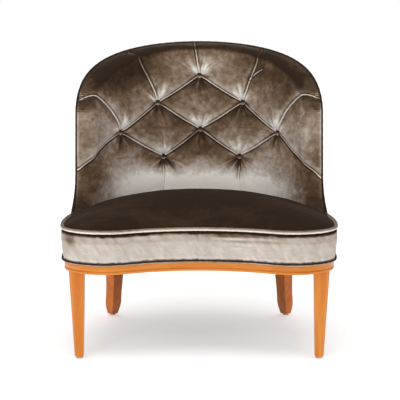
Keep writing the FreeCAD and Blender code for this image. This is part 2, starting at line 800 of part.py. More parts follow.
cover_outer = dome(cover_rim, 0.0, base_z + 1)
cover_inner = dome(cover_rim + cover_thickness, cover_thickness, base_z - 4)
pad_form = dome(cover_rim + cover_thickness + 2 * soft_gap, cover_thickness + 2 * soft_gap, base_z + soft_gap)
print("dome", cover_outer.isValid(), cover_inner.isValid(), pad_form.isValid())
seat_cover = cover_outer.cut(cover_inner)
pad_base = plan.slab(-frame_inset - soft_gap, deck_z + deck_thickness + soft_gap, base_z + soft_gap * 2)
seat_pad = pad_form.fuse(pad_base)

boxing_low = rail_top_z + 2 * low_welt_radius + 2 * soft_gap
boxing_high = base_z
boxing_mid = (boxing_low + boxing_high) / 2


def boxing_form(inset):
    return Part.makeLoft([plan.wire(-boxing_draw_in - inset, boxing_low),
                          plan.wire(boxing_swell - inset, boxing_mid + boxing_belly_rise),
                          plan.wire(-inset, boxing_high)], True, False)


boxing = boxing_form(0.0).cut(boxing_form(cover_thickness))


def plan_pipe(grow, z, radius):
    path = plan.wire(grow, z)
    start = path.Edges[0].valueAt(path.Edges[0].FirstParameter)
    tangent = path.Edges[0].tangentAt(path.Edges[0].FirstParameter)
    circle = Part.Wire([Part.Circle(start, tangent, radius).toShape()])
    return path.makePipeShell([circle], True, False)


upper_welt = plan_pipe(-welt_set, welt_z, welt_radius)
lower_welt = plan_pipe(-low_welt_radius + 1.0, rail_top_z + low_welt_radius + soft_gap, low_welt_radius)

# Dust cover and its tacks
dust_top = frame_bottom_z
dust_cover = plan.slab(-frame_inset - dust_edge_in, dust_top - dust_thickness, dust_top)
tacks = []
tack_path = plan.wire(-frame_inset - frame_rail_thickness / 2, dust_top - dust_thickness)
for point in tack_path.discretize(tack_count + 1)[:-1]:
    head = Part.makeCylinder(tack_radius, tack_height, point - Vector(0, 0, tack_height))
    shank = Part.makeCylinder(tack_shank_radius, tack_length, point)
    tack = head.fuse(shank)
    if min(tack.distToShape(t)[0] for t in tenons) > tack_clearance:
        tacks.append(tack)

# Fit the pieces to each other: mortises, screw and pin holes, notches for the back frame
frame_tools = tenons + pins + screws + dowels + clip_screws + tacks
for key in frame_pieces:
    frame_pieces[key] = frame_pieces[key].cut(frame_tools)
legs = {"front_leg_right": front_solid.fuse(front_tenon), "front_leg_left": mirrored(front_solid.fuse(front_tenon)),
        "rear_leg_right": rear_solid.fuse(rear_tenon), "rear_leg_left": mirrored(rear_solid.fuse(rear_tenon))}
for name, leg in legs.items():
    save(name, leg.cut(glides + pins + screws))
save("leg_glides", Part.makeCompound(glides))
for key, piece in band_pieces.items():
    save("show_rail_" + key, piece)
for key, piece in frame_pieces.items():
    save("seat_rail_" + key, piece)
save("corner_blocks", Part.makeCompound([b.cut(tenons + screws + pins) for b in blocks]))
save("corner_block_screws", Part.makeCompound(screws))
save("tenon_pins", Part.makeCompound(pins))
save("seat_springs", Part.makeCompound(springs))
save("spring_clips", Part.makeCompound(clips))
save("spring_clip_screws", Part.makeCompound(clip_screws))
save("spring_ties", Part.makeCompound(ties))

slots = back_loft(frame_rail_top_z - 1, frame_in - soft_gap, back_frame_thickness + 2 * soft_gap, 0.0,
                  hidden_end - soft_gap, crest_drop)
save("seat_deck", deck.cut(slots))
save("seat_edge_pad", edge_pad.cut(slots))
save("seat_pad", seat_pad.cut(slots).cut(clear_of_back))
save("seat_cover", seat_cover.cut(clear_of_back))
save("seat_boxing", boxing)
save("seat_welt_upper", upper_welt)
save("seat_welt_lower", lower_welt)
save("dust_cover", dust_cover.cut(tenons + tacks))
save("dust_cover_tacks", Part.makeCompound(tacks))

save("back_lower_rail", lower_rail.cut(dowels))
save("wing_board_right", wing_right)
save("wing_board_left", wing_left)
save("crest_rail", crest)
save("back_post_right", post_right)
save("back_post_left", post_left)
save("back_dowels", Part.makeCompound(dowels))
save("back_hessian", hessian.cut(twine_holes))
save("back_pad", back_pad.cut(twine_holes))
save("outside_back_wadding", wadding)
save("outside_back_cover", outside_cover)
save("inside_back_cover", inside_cover.cut(twine_holes).cut([welt_room]))
save("back_welt", back_welt)
save("tufting_buttons", Part.makeCompound(buttons))
save("tufting_twines", Part.makeCompound(twines))

whole = Part.makeCompound(list(parts.values())).BoundBox
print("whole  x %.1f to %.1f  y %.1f to %.1f  z %.1f to %.1f" %
      (whole.XMin, whole.XMax, whole.YMin, whole.YMax, whole.ZMin, whole.ZMax))
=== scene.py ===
import math
import bmesh
import bpy
import numpy as np
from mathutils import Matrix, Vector
from mathutils.geometry import delaunay_2d_cdt


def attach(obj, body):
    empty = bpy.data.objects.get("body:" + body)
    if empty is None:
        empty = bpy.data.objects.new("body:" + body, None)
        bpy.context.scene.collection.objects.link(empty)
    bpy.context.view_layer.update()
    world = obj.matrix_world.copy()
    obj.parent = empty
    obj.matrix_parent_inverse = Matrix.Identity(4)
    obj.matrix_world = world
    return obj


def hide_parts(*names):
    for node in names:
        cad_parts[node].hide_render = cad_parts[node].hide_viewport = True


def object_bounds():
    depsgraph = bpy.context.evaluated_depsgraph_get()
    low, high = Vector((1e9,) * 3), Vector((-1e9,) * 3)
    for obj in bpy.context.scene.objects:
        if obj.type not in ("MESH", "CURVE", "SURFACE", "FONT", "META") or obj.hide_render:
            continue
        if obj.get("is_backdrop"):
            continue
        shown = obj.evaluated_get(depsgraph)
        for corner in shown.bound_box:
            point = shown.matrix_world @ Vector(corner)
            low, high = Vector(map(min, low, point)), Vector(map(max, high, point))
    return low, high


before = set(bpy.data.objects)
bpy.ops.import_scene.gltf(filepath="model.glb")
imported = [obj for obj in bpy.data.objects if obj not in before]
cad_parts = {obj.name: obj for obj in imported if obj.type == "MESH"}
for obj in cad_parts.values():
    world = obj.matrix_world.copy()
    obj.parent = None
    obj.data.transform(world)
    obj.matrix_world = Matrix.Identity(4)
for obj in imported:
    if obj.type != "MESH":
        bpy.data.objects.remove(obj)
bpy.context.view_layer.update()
scene = bpy.context.scene


# Seat frame and back frame.
# Rails, posts, wing boards and corner blocks of raw beech, glued, pinned and doweled together.
# They carry the springs and the fillings, and the covers hide them all.
def srgb(r, g, b):
    """A colour given as 0 to 255 screen values, as linear light with alpha."""
    out = []
    for v in (r, g, b):
        v = v / 255.0
        out.append(v / 12.92 if v <= 0.04045 else ((v + 0.055) / 1.055) ** 2.4)
    return (*out, 1.0)


def new_material(name):
    """An empty material, with its nodes and links."""
    material = bpy.data.materials.new(name)
    material.use_nodes = True
    material.node_tree.nodes.clear()
    return material, material.node_tree.nodes, material.node_tree.links


def group(name, inputs, outputs):
    """A node group whose sockets are named, and its two end nodes."""
    tree = bpy.data.node_groups.new(name, "ShaderNodeTree")
    for label, kind, value in inputs:
        socket = tree.interface.new_socket(name=label, in_out="INPUT", socket_type=kind)
        if value is not None:
            socket.default_value = value
    for label, kind in outputs:
        tree.interface.new_socket(name=label, in_out="OUTPUT", socket_type=kind)
    return tree, tree.nodes.new("NodeGroupInput"), tree.nodes.new("NodeGroupOutput")


def math_node(nodes, links, operation, a, b, clamp=False):
    """Two values or sockets joined by a sum, product or other operation."""
    node = nodes.new("ShaderNodeMath")
    node.operation = operation
    node.use_clamp = clamp
    for socket, value in zip(node.inputs, (a, b)):
        if isinstance(value, (int, float)):
            socket.default_value = value
        else:
            links.new(value, socket)
    return node.outputs[0]


def noise_node(nodes, links, vector, scale, detail=3.0, roughness=0.55, distortion=0.0):
    """Soft noise over a piece; a larger scale makes finer spots."""
    node = nodes.new("ShaderNodeTexNoise")
    node.inputs["Scale"].default_value = scale
    node.inputs["Detail"].default_value = detail
    node.inputs["Roughness"].default_value = roughness
    node.inputs["Distortion"].default_value = distortion
    links.new(vector, node.inputs["Vector"])
    return node.outputs["Fac"]


def ramp_node(nodes, links, value, stops):
    """A colour picked by a value, between stops that each have a place and a colour."""
    node = nodes.new("ShaderNodeValToRGB")
    while len(node.color_ramp.elements) < len(stops):
        node.color_ramp.elements.new(0.5)
    for element, (place, colour) in zip(node.color_ramp.elements, stops):
        element.position = place
        element.color = colour
    links.new(value, node.inputs[0])
    return node.outputs["Color"]


def surface(nodes, links, tint, normal, roughness):
    """The shader that ends a material, with its colour and relief joined on."""
    shader = nodes.new("ShaderNodeBsdfPrincipled")
    shader.inputs["Roughness"].default_value = roughness
    links.new(tint, shader.inputs["Base Color"])
    links.new(normal, shader.inputs["Normal"])
    end = nodes.new("ShaderNodeOutputMaterial")
    links.new(shader.outputs[0], end.inputs["Surface"])
    return shader


def place_group(nodes, tree, **values):
    """A shared group placed in a material, with this material's own values."""
    node = nodes.new("ShaderNodeGroup")
    node.node_tree = tree
    for label, value in values.items():
        node.inputs[label].default_value = value
    return node


# Grain drawn out along the wood: the small number in Along gives the way it runs
grain_tree, grain_in, grain_out = group("wood_grain", [("Along", "NodeSocketVector", (1.0, 1.0, 1.0))],
                                        [("Grain", "NodeSocketFloat"), ("Normal", "NodeSocketVector")])
n, l = grain_tree.nodes, grain_tree.links
drawn = n.new("ShaderNodeMapping")
l.new(n.new("ShaderNodeTexCoord").outputs["Object"], drawn.inputs["Vector"])
l.new(grain_in.outputs["Along"], drawn.inputs["Scale"])
streaks = noise_node(n, l, drawn.outputs[0], 60.0, 5.0, 0.65, 0.6)
pores = noise_node(n, l, drawn.outputs[0], 420.0, 3.0, 0.6)
bands = noise_node(n, l, drawn.outputs[0], 11.0, 2.0, 0.5)
fine = math_node(n, l, "ADD", math_node(n, l, "MULTIPLY", pores, 0.18),
                 math_node(n, l, "MULTIPLY", bands, 0.32))
l.new(math_node(n, l, "ADD", math_node(n, l, "MULTIPLY", streaks, 0.55), fine), grain_out.inputs["Grain"])
relief = n.new("ShaderNodeBump")
relief.inputs["Distance"].default_value = 0.0004
relief.inputs["Strength"].default_value = 0.25
l.new(pores, relief.inputs["Height"])
l.new(relief.outputs["Normal"], grain_out.inputs["Normal"])


def wood(name, pale, middle, deep, along, gloss=0.34, coat=0.12, painted_side_light=0.0):
    """Wood with its grain along one axis; the last value paints the faces that look to the right paler,
    as painted light.
    """
    material, nodes, links = new_material(name)
    grain = place_group(nodes, grain_tree, Along=along)
    tint = ramp_node(nodes, links, grain.outputs["Grain"], ((0.36, deep), (0.52, middle), (0.68, pale)))
    if painted_side_light:
        turned = nodes.new("ShaderNodeSeparateXYZ")
        links.new(nodes.new("ShaderNodeTexCoord").outputs["Normal"], turned.inputs[0])
        paler = math_node(nodes, links, "MULTIPLY", turned.outputs["X"], painted_side_light)
        side_light_node = nodes.new("ShaderNodeHueSaturation")
        links.new(math_node(nodes, links, "ADD", paler, 1.0), side_light_node.inputs["Value"])
        links.new(tint, side_light_node.inputs["Color"])
        tint = side_light_node.outputs["Color"]
    shader = surface(nodes, links, tint, grain.outputs["Normal"], gloss)
    shader.inputs["Coat Weight"].default_value = coat
    shader.inputs["Coat Roughness"].default_value = 0.18
    shader.inputs["Specular IOR Level"].default_value = 0.3
    return material


def dress(material, *names):
    """Give pieces that are kept as modelled their material."""
    for name in names:
        piece = bpy.data.objects[name]
        piece.data.materials.clear()
        piece.data.materials.append(material)


CROSSWAYS = (0.08, 1.0, 1.0)
beech = wood("raw_beech", srgb(226, 196, 158), srgb(210, 176, 134), srgb(188, 150, 108),
             CROSSWAYS, gloss=0.6, coat=0.0)
dress(beech, "seat_rail_front", "seat_rail_back", "seat_rail_left", "seat_rail_right")
dress(beech, "corner_blocks", "tenon_pins", "back_dowels")
dress(beech, "back_post_left", "back_post_right", "back_lower_rail", "crest_rail")
dress(beech, "wing_board_left", "wing_board_right")


# Front legs.
# Square, tapered legs of hardwood with a honey-orange varnish. Each has a tenon that is pinned
# into the corner of the seat frame.
UPRIGHT = (1.0, 1.0, 0.06)
front_varnish = wood("leg_varnish", srgb(226, 146, 52), srgb(212, 124, 34), srgb(190, 100, 20), UPRIGHT)
dress(front_varnish, "front_leg_left", "front_leg_right")


# Rear legs.
# Square legs set cornerwise, sweeping out and back to a rounded toe, in the same varnish but
# deeper. Their outer faces are painted paler than the inner ones, as painted light.
# Painted light: each rear leg has its own copy of the varnish, painted paler on its outer faces
REAR_TINTS = (srgb(198, 112, 22), srgb(176, 90, 8), srgb(146, 66, 2))
REAR_PAINTED_SIDE_LIGHT = 0.40
rear_varnish_left = wood("rear_leg_varnish_left", *REAR_TINTS, UPRIGHT, gloss=0.5, coat=0.0,
                        painted_side_light=-REAR_PAINTED_SIDE_LIGHT)
rear_varnish_right = wood("rear_leg_varnish_right", *REAR_TINTS, UPRIGHT, gloss=0.5, coat=0.0,
                          painted_side_light=REAR_PAINTED_SIDE_LIGHT)
dress(rear_varnish_left, "rear_leg_left")
dress(rear_varnish_right, "rear_leg_right")


# Show-wood bands.
# Four moulded strips of the same varnished wood, with a bead and a groove, glued round the foot
# of the seat frame and following its kidney shape.
LYING = (0.10, 0.10, 1.0)
band_varnish = wood("band_varnish", srgb(228, 146, 50), srgb(214, 126, 34), srgb(190, 102, 20), LYING)
dress(band_varnish, "show_rail_front", "show_rail_back", "show_rail_left", "show_rail_right")


# Springs, clips and screws.
# Zigzag springs of steel wire, held by clips screwed to the rails and tied to each other.
# Steel screws also hold the corner blocks.
mottle_tree, mottle_in, mottle_out = group(
    "fine_mottle", [("Scale", "NodeSocketFloat", 100.0), ("Depth", "NodeSocketFloat", 0.0003)],
    [("Mottle", "NodeSocketFloat"), ("Normal", "NodeSocketVector")])
n, l = mottle_tree.nodes, mottle_tree.links
mottle = noise_node(n, l, n.new("ShaderNodeTexCoord").outputs["Object"], 100.0, 4.0, 0.6)
l.new(mottle_in.outputs["Scale"], mottle.node.inputs["Scale"])
relief = n.new("ShaderNodeBump")
l.new(mottle_in.outputs["Depth"], relief.inputs["Distance"])
l.new(mottle, relief.inputs["Height"])
l.new(mottle, mottle_out.inputs["Mottle"])
l.new(relief.outputs["Normal"], mottle_out.inputs["Normal"])


def mottled(name, low, high, scale, roughness, metal=0.0, depth=0.0003):
    """A plain material between two tones, with a fine uneven surface."""
    material, nodes, links = new_material(name)
    spread = place_group(nodes, mottle_tree, Scale=scale, Depth=depth)
    tint = ramp_node(nodes, links, spread.outputs["Mottle"], ((0.3, low), (0.7, high)))
    shader = surface(nodes, links, tint, spread.outputs["Normal"], roughness)
    shader.inputs["Metallic"].default_value = metal
    return material


steel = mottled("bright_steel", srgb(120, 120, 122), srgb(168, 168, 170), scale=90.0, roughness=0.35,
                metal=1.0)
dress(steel, "seat_springs", "spring_clips", "spring_clip_screws", "spring_ties", "corner_block_screws")


# Deck cloth and back hessian.
# Coarse jute cloth, tacked over the springs of the seat and across the frame of the back, where
# it carries the stuffing.
jute = mottled("jute_cloth", srgb(150, 122, 84), srgb(186, 158, 116), scale=600.0, roughness=0.95)
dress(jute, "seat_deck", "back_hessian")


# Fillings.
# Seat pad, roll along the seat's edge and back pad of hair and cotton, and cotton felt wadding
# under the outside back. They are laid in place and held by the covers.
cotton = mottled("cotton_filling", srgb(214, 206, 190), srgb(236, 230, 218), scale=120.0, roughness=0.95,
                 depth=0.002)
dress(cotton, "seat_pad", "seat_edge_pad", "back_pad", "outside_back_wadding")


# Seat cover.
# A crowned top of silk velvet over the pad, sewn to the welt at its edge. Its pile is brushed
# forward, and it is painted dark where it faces up, as painted shade, so it looks nearly black from the
# front.
MM = 0.001

# Painted sheen and shade of the velvet, from silvery at 0 to darkest at 1: painted dark where the
# cloth faces up and painted silvery where it turns under, with rubbed patches and fine marks
PAINTED_SHEEN_STOPS = ((0.00, srgb(238, 232, 224)), (0.17, srgb(200, 191, 181)), (0.31, srgb(172, 159, 146)),
             (0.44, srgb(140, 122, 105)), (0.56, srgb(109, 89, 71)), (0.70, srgb(80, 62, 46)),
             (0.86, srgb(60, 45, 32)), (1.00, srgb(42, 31, 22)))

painted_sheen_tree, painted_sheen_in, painted_sheen_out = group(
    "velvet_painted_sheen",
    [("Rub", "NodeSocketFloat", 1.0), ("Slope", "NodeSocketFloat", 1.0),
     ("Tone", "NodeSocketFloat", 0.0)],
    [("Color", "NodeSocketColor"), ("Normal", "NodeSocketVector")])
n, l = painted_sheen_tree.nodes, painted_sheen_tree.links
place = n.new("ShaderNodeTexCoord").outputs["Object"]
pile = noise_node(n, l, place, 900.0, 2.0, 0.6)
marks = noise_node(n, l, place, 75.0, 4.0, 0.62, 0.4)
patches = noise_node(n, l, place, 17.0, 5.0, 0.60, 0.9)
clouds = noise_node(n, l, place, 6.5, 2.0, 0.5, 0.3)
relief = math_node(n, l, "ADD", math_node(n, l, "MULTIPLY", marks, 0.0011),
                   math_node(n, l, "MULTIPLY", pile, 0.00012))
bump = n.new("ShaderNodeBump")
bump.inputs["Strength"].default_value = 0.55
bump.inputs["Distance"].default_value = 1.0
l.new(relief, bump.inputs["Height"])
# Painted sheen and shade: the colour follows the way the bumped cloth faces, darker facing up
split = n.new("ShaderNodeSeparateXYZ")
l.new(bump.outputs["Normal"], split.inputs[0])
facing = n.new("ShaderNodeMapRange")
facing.inputs["From Min"].default_value = -0.42
facing.inputs["From Max"].default_value = 0.62
l.new(split.outputs["Z"], facing.inputs["Value"])
tone = math_node(n, l, "MULTIPLY", facing.outputs[0], painted_sheen_in.outputs["Slope"])
tone = math_node(n, l, "ADD", tone, painted_sheen_in.outputs["Tone"])
rub = 0.0
for spots, amount in ((patches, 0.42), (marks, 0.42), (clouds, 0.25)):
    uneven = math_node(n, l, "MULTIPLY", math_node(n, l, "SUBTRACT", spots, 0.5), amount)
    rub = math_node(n, l, "ADD", rub, uneven)
rub = math_node(n, l, "MULTIPLY", rub, painted_sheen_in.outputs["Rub"])
tone = math_node(n, l, "ADD", tone, rub, clamp=True)
colour = ramp_node(n, l, tone, PAINTED_SHEEN_STOPS)
grain = n.new("ShaderNodeHueSaturation")
l.new(colour, grain.inputs["Color"])
l.new(math_node(n, l, "ADD", math_node(n, l, "MULTIPLY", pile, 0.5), 0.75), grain.inputs["Value"])
l.new(grain.outputs[0], painted_sheen_out.inputs["Color"])
l.new(bump.outputs["Normal"], painted_sheen_out.inputs["Normal"])


def velvet(name, rub, slope, tone=0.0, attribute=None, sheen=0.10):
    """A velvet painted with sheen and shade by the way it faces, whose tone can also follow a value
    stored on the piece's points.
    """
    material, nodes, links = new_material(name)
    painted_sheen = place_group(nodes, painted_sheen_tree, Rub=rub, Slope=slope, Tone=tone)
    if attribute:
        stored = nodes.new("ShaderNodeAttribute")
        stored.attribute_name = attribute
        links.new(math_node(nodes, links, "ADD", stored.outputs["Fac"], tone), painted_sheen.inputs["Tone"])
    shader = surface(nodes, links, painted_sheen.outputs["Color"], painted_sheen.outputs["Normal"], 0.85)
    shader.inputs["Specular IOR Level"].default_value = 0.06
    shader.inputs["Sheen Weight"].default_value = sheen
    shader.inputs["Sheen Roughness"].default_value = 0.35
    shader.inputs["Sheen Tint"].default_value = srgb(225, 214, 200)
    return material


def add_mesh(name, points, faces):
    """A new smooth piece from its points and faces."""
    mesh = bpy.data.meshes.new(name)
    mesh.from_pydata([tuple(p) for p in points], [], [tuple(f) for f in faces])
    mesh.update()
    mesh.polygons.foreach_set("use_smooth", [True] * len(mesh.polygons))
    piece = bpy.data.objects.new(name, mesh)
    scene.collection.objects.link(piece)
    return piece


def store(piece, name, values):
    """Keep one value for each point of a piece."""
    attribute = piece.data.attributes.new(name, "FLOAT", "POINT")
    attribute.data.foreach_set("value", np.asarray(values, dtype=np.float32))


def light_and_shade_patches(across, up, painted_patches):
    """Soft patches of painted light (below 0) and painted shade: place, size and amount."""
    tone = np.zeros(len(across))
    for (x, y), (wide, tall), amount in painted_patches:
        away = ((across / MM - x) / wide) ** 2 + ((up / MM - y) / tall) ** 2
        tone += amount * np.exp(-away)
    return tone


def smooth_noise(points, scale, seed):
    """Smooth value noise between -1 and 1 at points laid flat, the same on every run."""
    rng = np.random.default_rng(seed)
    grid = rng.uniform(-1, 1, (256, 256))
    p = np.asarray(points) / scale + 128.37
    i = np.floor(p).astype(int)
    f = p - i
    f = f * f * (3 - 2 * f)
    i %= 255
    a = grid[i[:, 0], i[:, 1]] * (1 - f[:, 0]) + grid[i[:, 0] + 1, i[:, 1]] * f[:, 0]
    b = grid[i[:, 0], i[:, 1] + 1] * (1 - f[:, 0]) + grid[i[:, 0] + 1, i[:, 1] + 1] * f[:, 0]
    return a * (1 - f[:, 1]) + b * f[:, 1]


def even(points, step):
    """The same line with its points at even steps."""
    points = np.asarray(points, dtype=float)
    length = np.concatenate([[0], np.cumsum(np.linalg.norm(np.diff(points, axis=0), axis=1))])
    count = max(2, int(round(length[-1] / step)) + 1)
    at = np.linspace(0, length[-1], count)
    return np.stack([np.interp(at, length, points[:, i]) for i in range(points.shape[1])], axis=1)


def normals_of(line):
    """The way out to the right of an open line, at each of its points."""
    along = np.gradient(line, axis=0)
    along /= np.linalg.norm(along, axis=1)[:, None]
    return np.stack([along[:, 1], -along[:, 0]], axis=1)


BATCH = 4000


def nearest(points, line, outward):
    """Signed distance from a line (positive outside), with the foot's place and normal."""
    distance = np.empty(len(points))
    foot = np.empty((len(points), 2))
    normal = np.empty((len(points), 2))
    a, b = line[:-1], line[1:]
    ab = b - a
    for start in range(0, len(points), BATCH):
        batch = slice(start, start + BATCH)
        p = points[batch]
        t = ((p[:, None] - a) * ab).sum(2) / (ab ** 2).sum(1)
        t = np.clip(t, 0, 1)
        gap = p[:, None] - (a + ab * t[..., None])
        far = (gap ** 2).sum(2)
        k = far.argmin(1)
        rows = np.arange(len(p))
        s = t[rows, k][:, None]
        foot[batch] = a[k] + ab[k] * s
        m = outward[:-1][k] * (1 - s) + outward[1:][k] * s
        m /= np.linalg.norm(m, axis=1)[:, None]
        normal[batch] = m
        distance[batch] = np.sqrt(far[rows, k]) * np.sign((gap[rows, k] * m).sum(1))
    return distance, foot, normal


# The seat's outline is a kidney shape of tangent arcs: a hollow front, two round lobes, gently
# curved sides and a round back
SEAT_FRONT = -326.978 * MM
SEAT_HALF = 350 * MM
SEAT_SIDE_R = 700 * MM
SEAT_WIDEST_Y = SEAT_FRONT + 185 * MM
SEAT_REAR_Y = SEAT_FRONT + 590 * MM
LOBE_X = 232 * MM
FRONT_DIP = 58 * MM
side_centre = np.array([SEAT_HALF - SEAT_SIDE_R, SEAT_WIDEST_Y])
reach = SEAT_REAR_Y - SEAT_WIDEST_Y
rear_r = (SEAT_SIDE_R ** 2 - (SEAT_SIDE_R - SEAT_HALF) ** 2 - reach ** 2) / (2 * (SEAT_SIDE_R - reach))
rear_centre = np.array([0.0, SEAT_REAR_Y - rear_r])
over = LOBE_X - side_centre[0]
behind = SEAT_WIDEST_Y - SEAT_FRONT
lobe_r = (SEAT_SIDE_R ** 2 - over ** 2 - behind ** 2) / (2 * (SEAT_SIDE_R - behind))
lobe_centre = np.array([LOBE_X, SEAT_FRONT + lobe_r])
gap = lobe_r - FRONT_DIP
dip_r = (lobe_r ** 2 - LOBE_X ** 2 - gap ** 2) / (2 * (gap - lobe_r))
dip_centre = np.array([0.0, SEAT_FRONT + FRONT_DIP - dip_r])


def seat_line(grow, step=2.5 * MM):
    """The seat's outline from the middle of the front, anticlockwise seen from above."""
    def bearing(a, b):
        """Which way one point lies from another."""
        return math.atan2(b[1] - a[1], b[0] - a[0])

    def arc(centre, radius, a, b):
        """Points along an arc between two bearings."""
        t = np.linspace(a, b, 60)
        return np.stack([centre[0] + radius * np.cos(t), centre[1] + radius * np.sin(t)], axis=1)

    dip_end = bearing(dip_centre, lobe_centre)
    side_a, side_b = bearing(side_centre, lobe_centre), bearing(side_centre, rear_centre)
    half = np.concatenate([arc(dip_centre, dip_r - grow, math.pi / 2, dip_end)[:-1],
                           arc(lobe_centre, lobe_r + grow, dip_end - math.pi, side_a)[:-1],
                           arc(side_centre, SEAT_SIDE_R + grow, side_a, side_b)[:-1],
                           arc(rear_centre, rear_r + grow, side_b, math.pi / 2)])
    whole = np.concatenate([half, half[::-1][1:-1] * (-1, 1)])
    whole = np.concatenate([whole, whole[:1]])
    return even(whole, step)[:-1]


def outward(line):
    """The way out of a closed loop, at each of its points."""
    along = np.roll(line, -1, axis=0) - np.roll(line, 1, axis=0)
    along /= np.linalg.norm(along, axis=1)[:, None]
    return np.stack([along[:, 1], -along[:, 0]], axis=1)


def loop_grid(rings):
    """Faces between loops of the same number of points, one after another."""
    around = len(rings[0])
    faces = []
    for i in range(len(rings) - 1):
        for j in range(around):
            a, b = i * around + j, i * around + (j + 1) % around
            faces.append((a, b, b + around, a + around))
    return np.concatenate(rings), faces


def close_middle(points, faces, around, middle):
    """Join the last loop to one point in its middle."""
    last = len(points) - around
    tip = len(points)
    faces = faces + [(last + j, last + (j + 1) % around, tip) for j in range(around)]
    return np.concatenate([points, [middle]]), faces


WELT_Z = 324 * MM
WELT_BASE_Z = 319.2 * MM
CROWN_Z = 388 * MM
CROWN_IN = 6.6 * MM
CROWN_MIDDLE_Y = -45 * MM
CROWN_POWER = 2.3
CROWN_EASE = 0.8
CROWN_LOOPS = 64
CROWN_CROWDING = 1.35
# Faint creases near the front: both ends and depth, in millimetres
CREASES = (((112, -238), (196, -196), 0.8), ((150, -262), (232, -216), 0.6),
           ((70, -250), (128, -232), 0.5), ((-190, -226), (-120, -240), 0.4))
CREASE_WIDTH = 4
CREASE_FADE = 18
# Painted sheen (below 0) and painted shade on the seat top: place in millimetres, size and amount
SEAT_LIGHT_AND_SHADE = (((0, 190), (260, 60), -0.16), ((-250, -190), (90, 80), -0.12),
                ((0, -80), (180, 70), 0.06), ((200, -120), (120, 90), -0.05),
                ((-60, -250), (140, 30), -0.05), ((270, -150), (50, 80), -0.08))

rim_line = seat_line(-CROWN_IN)
around = len(rim_line)
rings = [np.column_stack([rim_line, np.full(around, WELT_BASE_Z + 1 * MM)])]
shares = 1 - (1 - np.linspace(1, 0.015, CROWN_LOOPS)) ** CROWN_CROWDING
for share in np.sort(shares)[::-1]:
    rise = (1 - min(share, 1.0) ** CROWN_POWER) ** CROWN_EASE
    ring = np.column_stack([rim_line[:, 0] * share,
                            CROWN_MIDDLE_Y + (rim_line[:, 1] - CROWN_MIDDLE_Y) * share,
                            np.full(around, WELT_Z + (CROWN_Z - WELT_Z) * rise)])
    rings.append(ring)
points, faces = loop_grid(rings)
plan = points[:, :2]
points[:, 2] += MM * (0.7 * smooth_noise(plan, 70 * MM, 11) + 0.25 * smooth_noise(plan, 22 * MM, 12))
points, faces = close_middle(points, faces, around, (0, CROWN_MIDDLE_Y, CROWN_Z))
plan = points[:, :2].copy()
for a, b, depth in CREASES:
    line = even(np.array([a, b]) * MM, 3 * MM)
    _, foot, _ = nearest(plan, line, normals_of(line))
    away = np.linalg.norm(plan - foot, axis=1) / MM
    first, last = np.linalg.norm(foot - line[0], axis=1), np.linalg.norm(foot - line[-1], axis=1)
    ends = np.clip(np.minimum(first, last) / (CREASE_FADE * MM), 0, 1)
    points[:, 2] -= MM * depth * np.exp(-(away / CREASE_WIDTH) ** 2) * ends
seat_tone_and_painted_light = 0.03 * smooth_noise(plan * (0.35, 1), 9 * MM, 71)
seat_tone_and_painted_light += 0.04 * smooth_noise(plan * (0.5, 1), 34 * MM, 72)
seat_tone_and_painted_light += light_and_shade_patches(plan[:, 0], plan[:, 1], SEAT_LIGHT_AND_SHADE)
seat_top = add_mesh("seat_top_velvet", points, faces)
store(seat_top, "tone_and_painted_light", seat_tone_and_painted_light)
seat_velvet = velvet("seat_velvet", rub=0.32, slope=0.85, tone=0.16, attribute="tone_and_painted_light", sheen=0.02)
seat_top.data.materials.append(seat_velvet)
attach(seat_top, "root")
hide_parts("seat_cover")


# Seat boxing.
# The upright band of velvet round the seat, sewn under the upper welt and tacked along the lower
# one over the edge roll. Its pull shows as drag wrinkles.
BOX_LOW_Z = 246.6 * MM
BOX_ROWS = 34
BOX_STEP = 2.2 * MM
# How far the band stands out of the outline, in millimetres, from its bottom (0) to its top (1)
BOX_SHARES = (0, 0.04, 0.12, 0.35, 0.65, 0.88, 0.94, 1)
BOX_STANDS = (-4.5, -3.4, -2.4, -0.9, 1.0, 0.6, -0.8, -4.2)
# Drag wrinkles: place across the front, half width, height share and depth
DRAGS = ((70, 34, 0.80, 0.9), (96, 40, 0.70, -0.7), (140, 46, 0.82, 0.7), (110, 30, 0.60, 0.5),
         (168, 30, 0.74, -0.5), (92, 14, 0.46, 0.45), (-150, 40, 0.86, 0.4))
DRAG_HEIGHT = 0.05
# Painted shade across the front: place, half width, height share, half height and amount
BOX_PAINTED_SHADE = ((-318, 13, 0.72, 0.2, 0.30), (85, 75, 0.84, 0.07, 0.22))

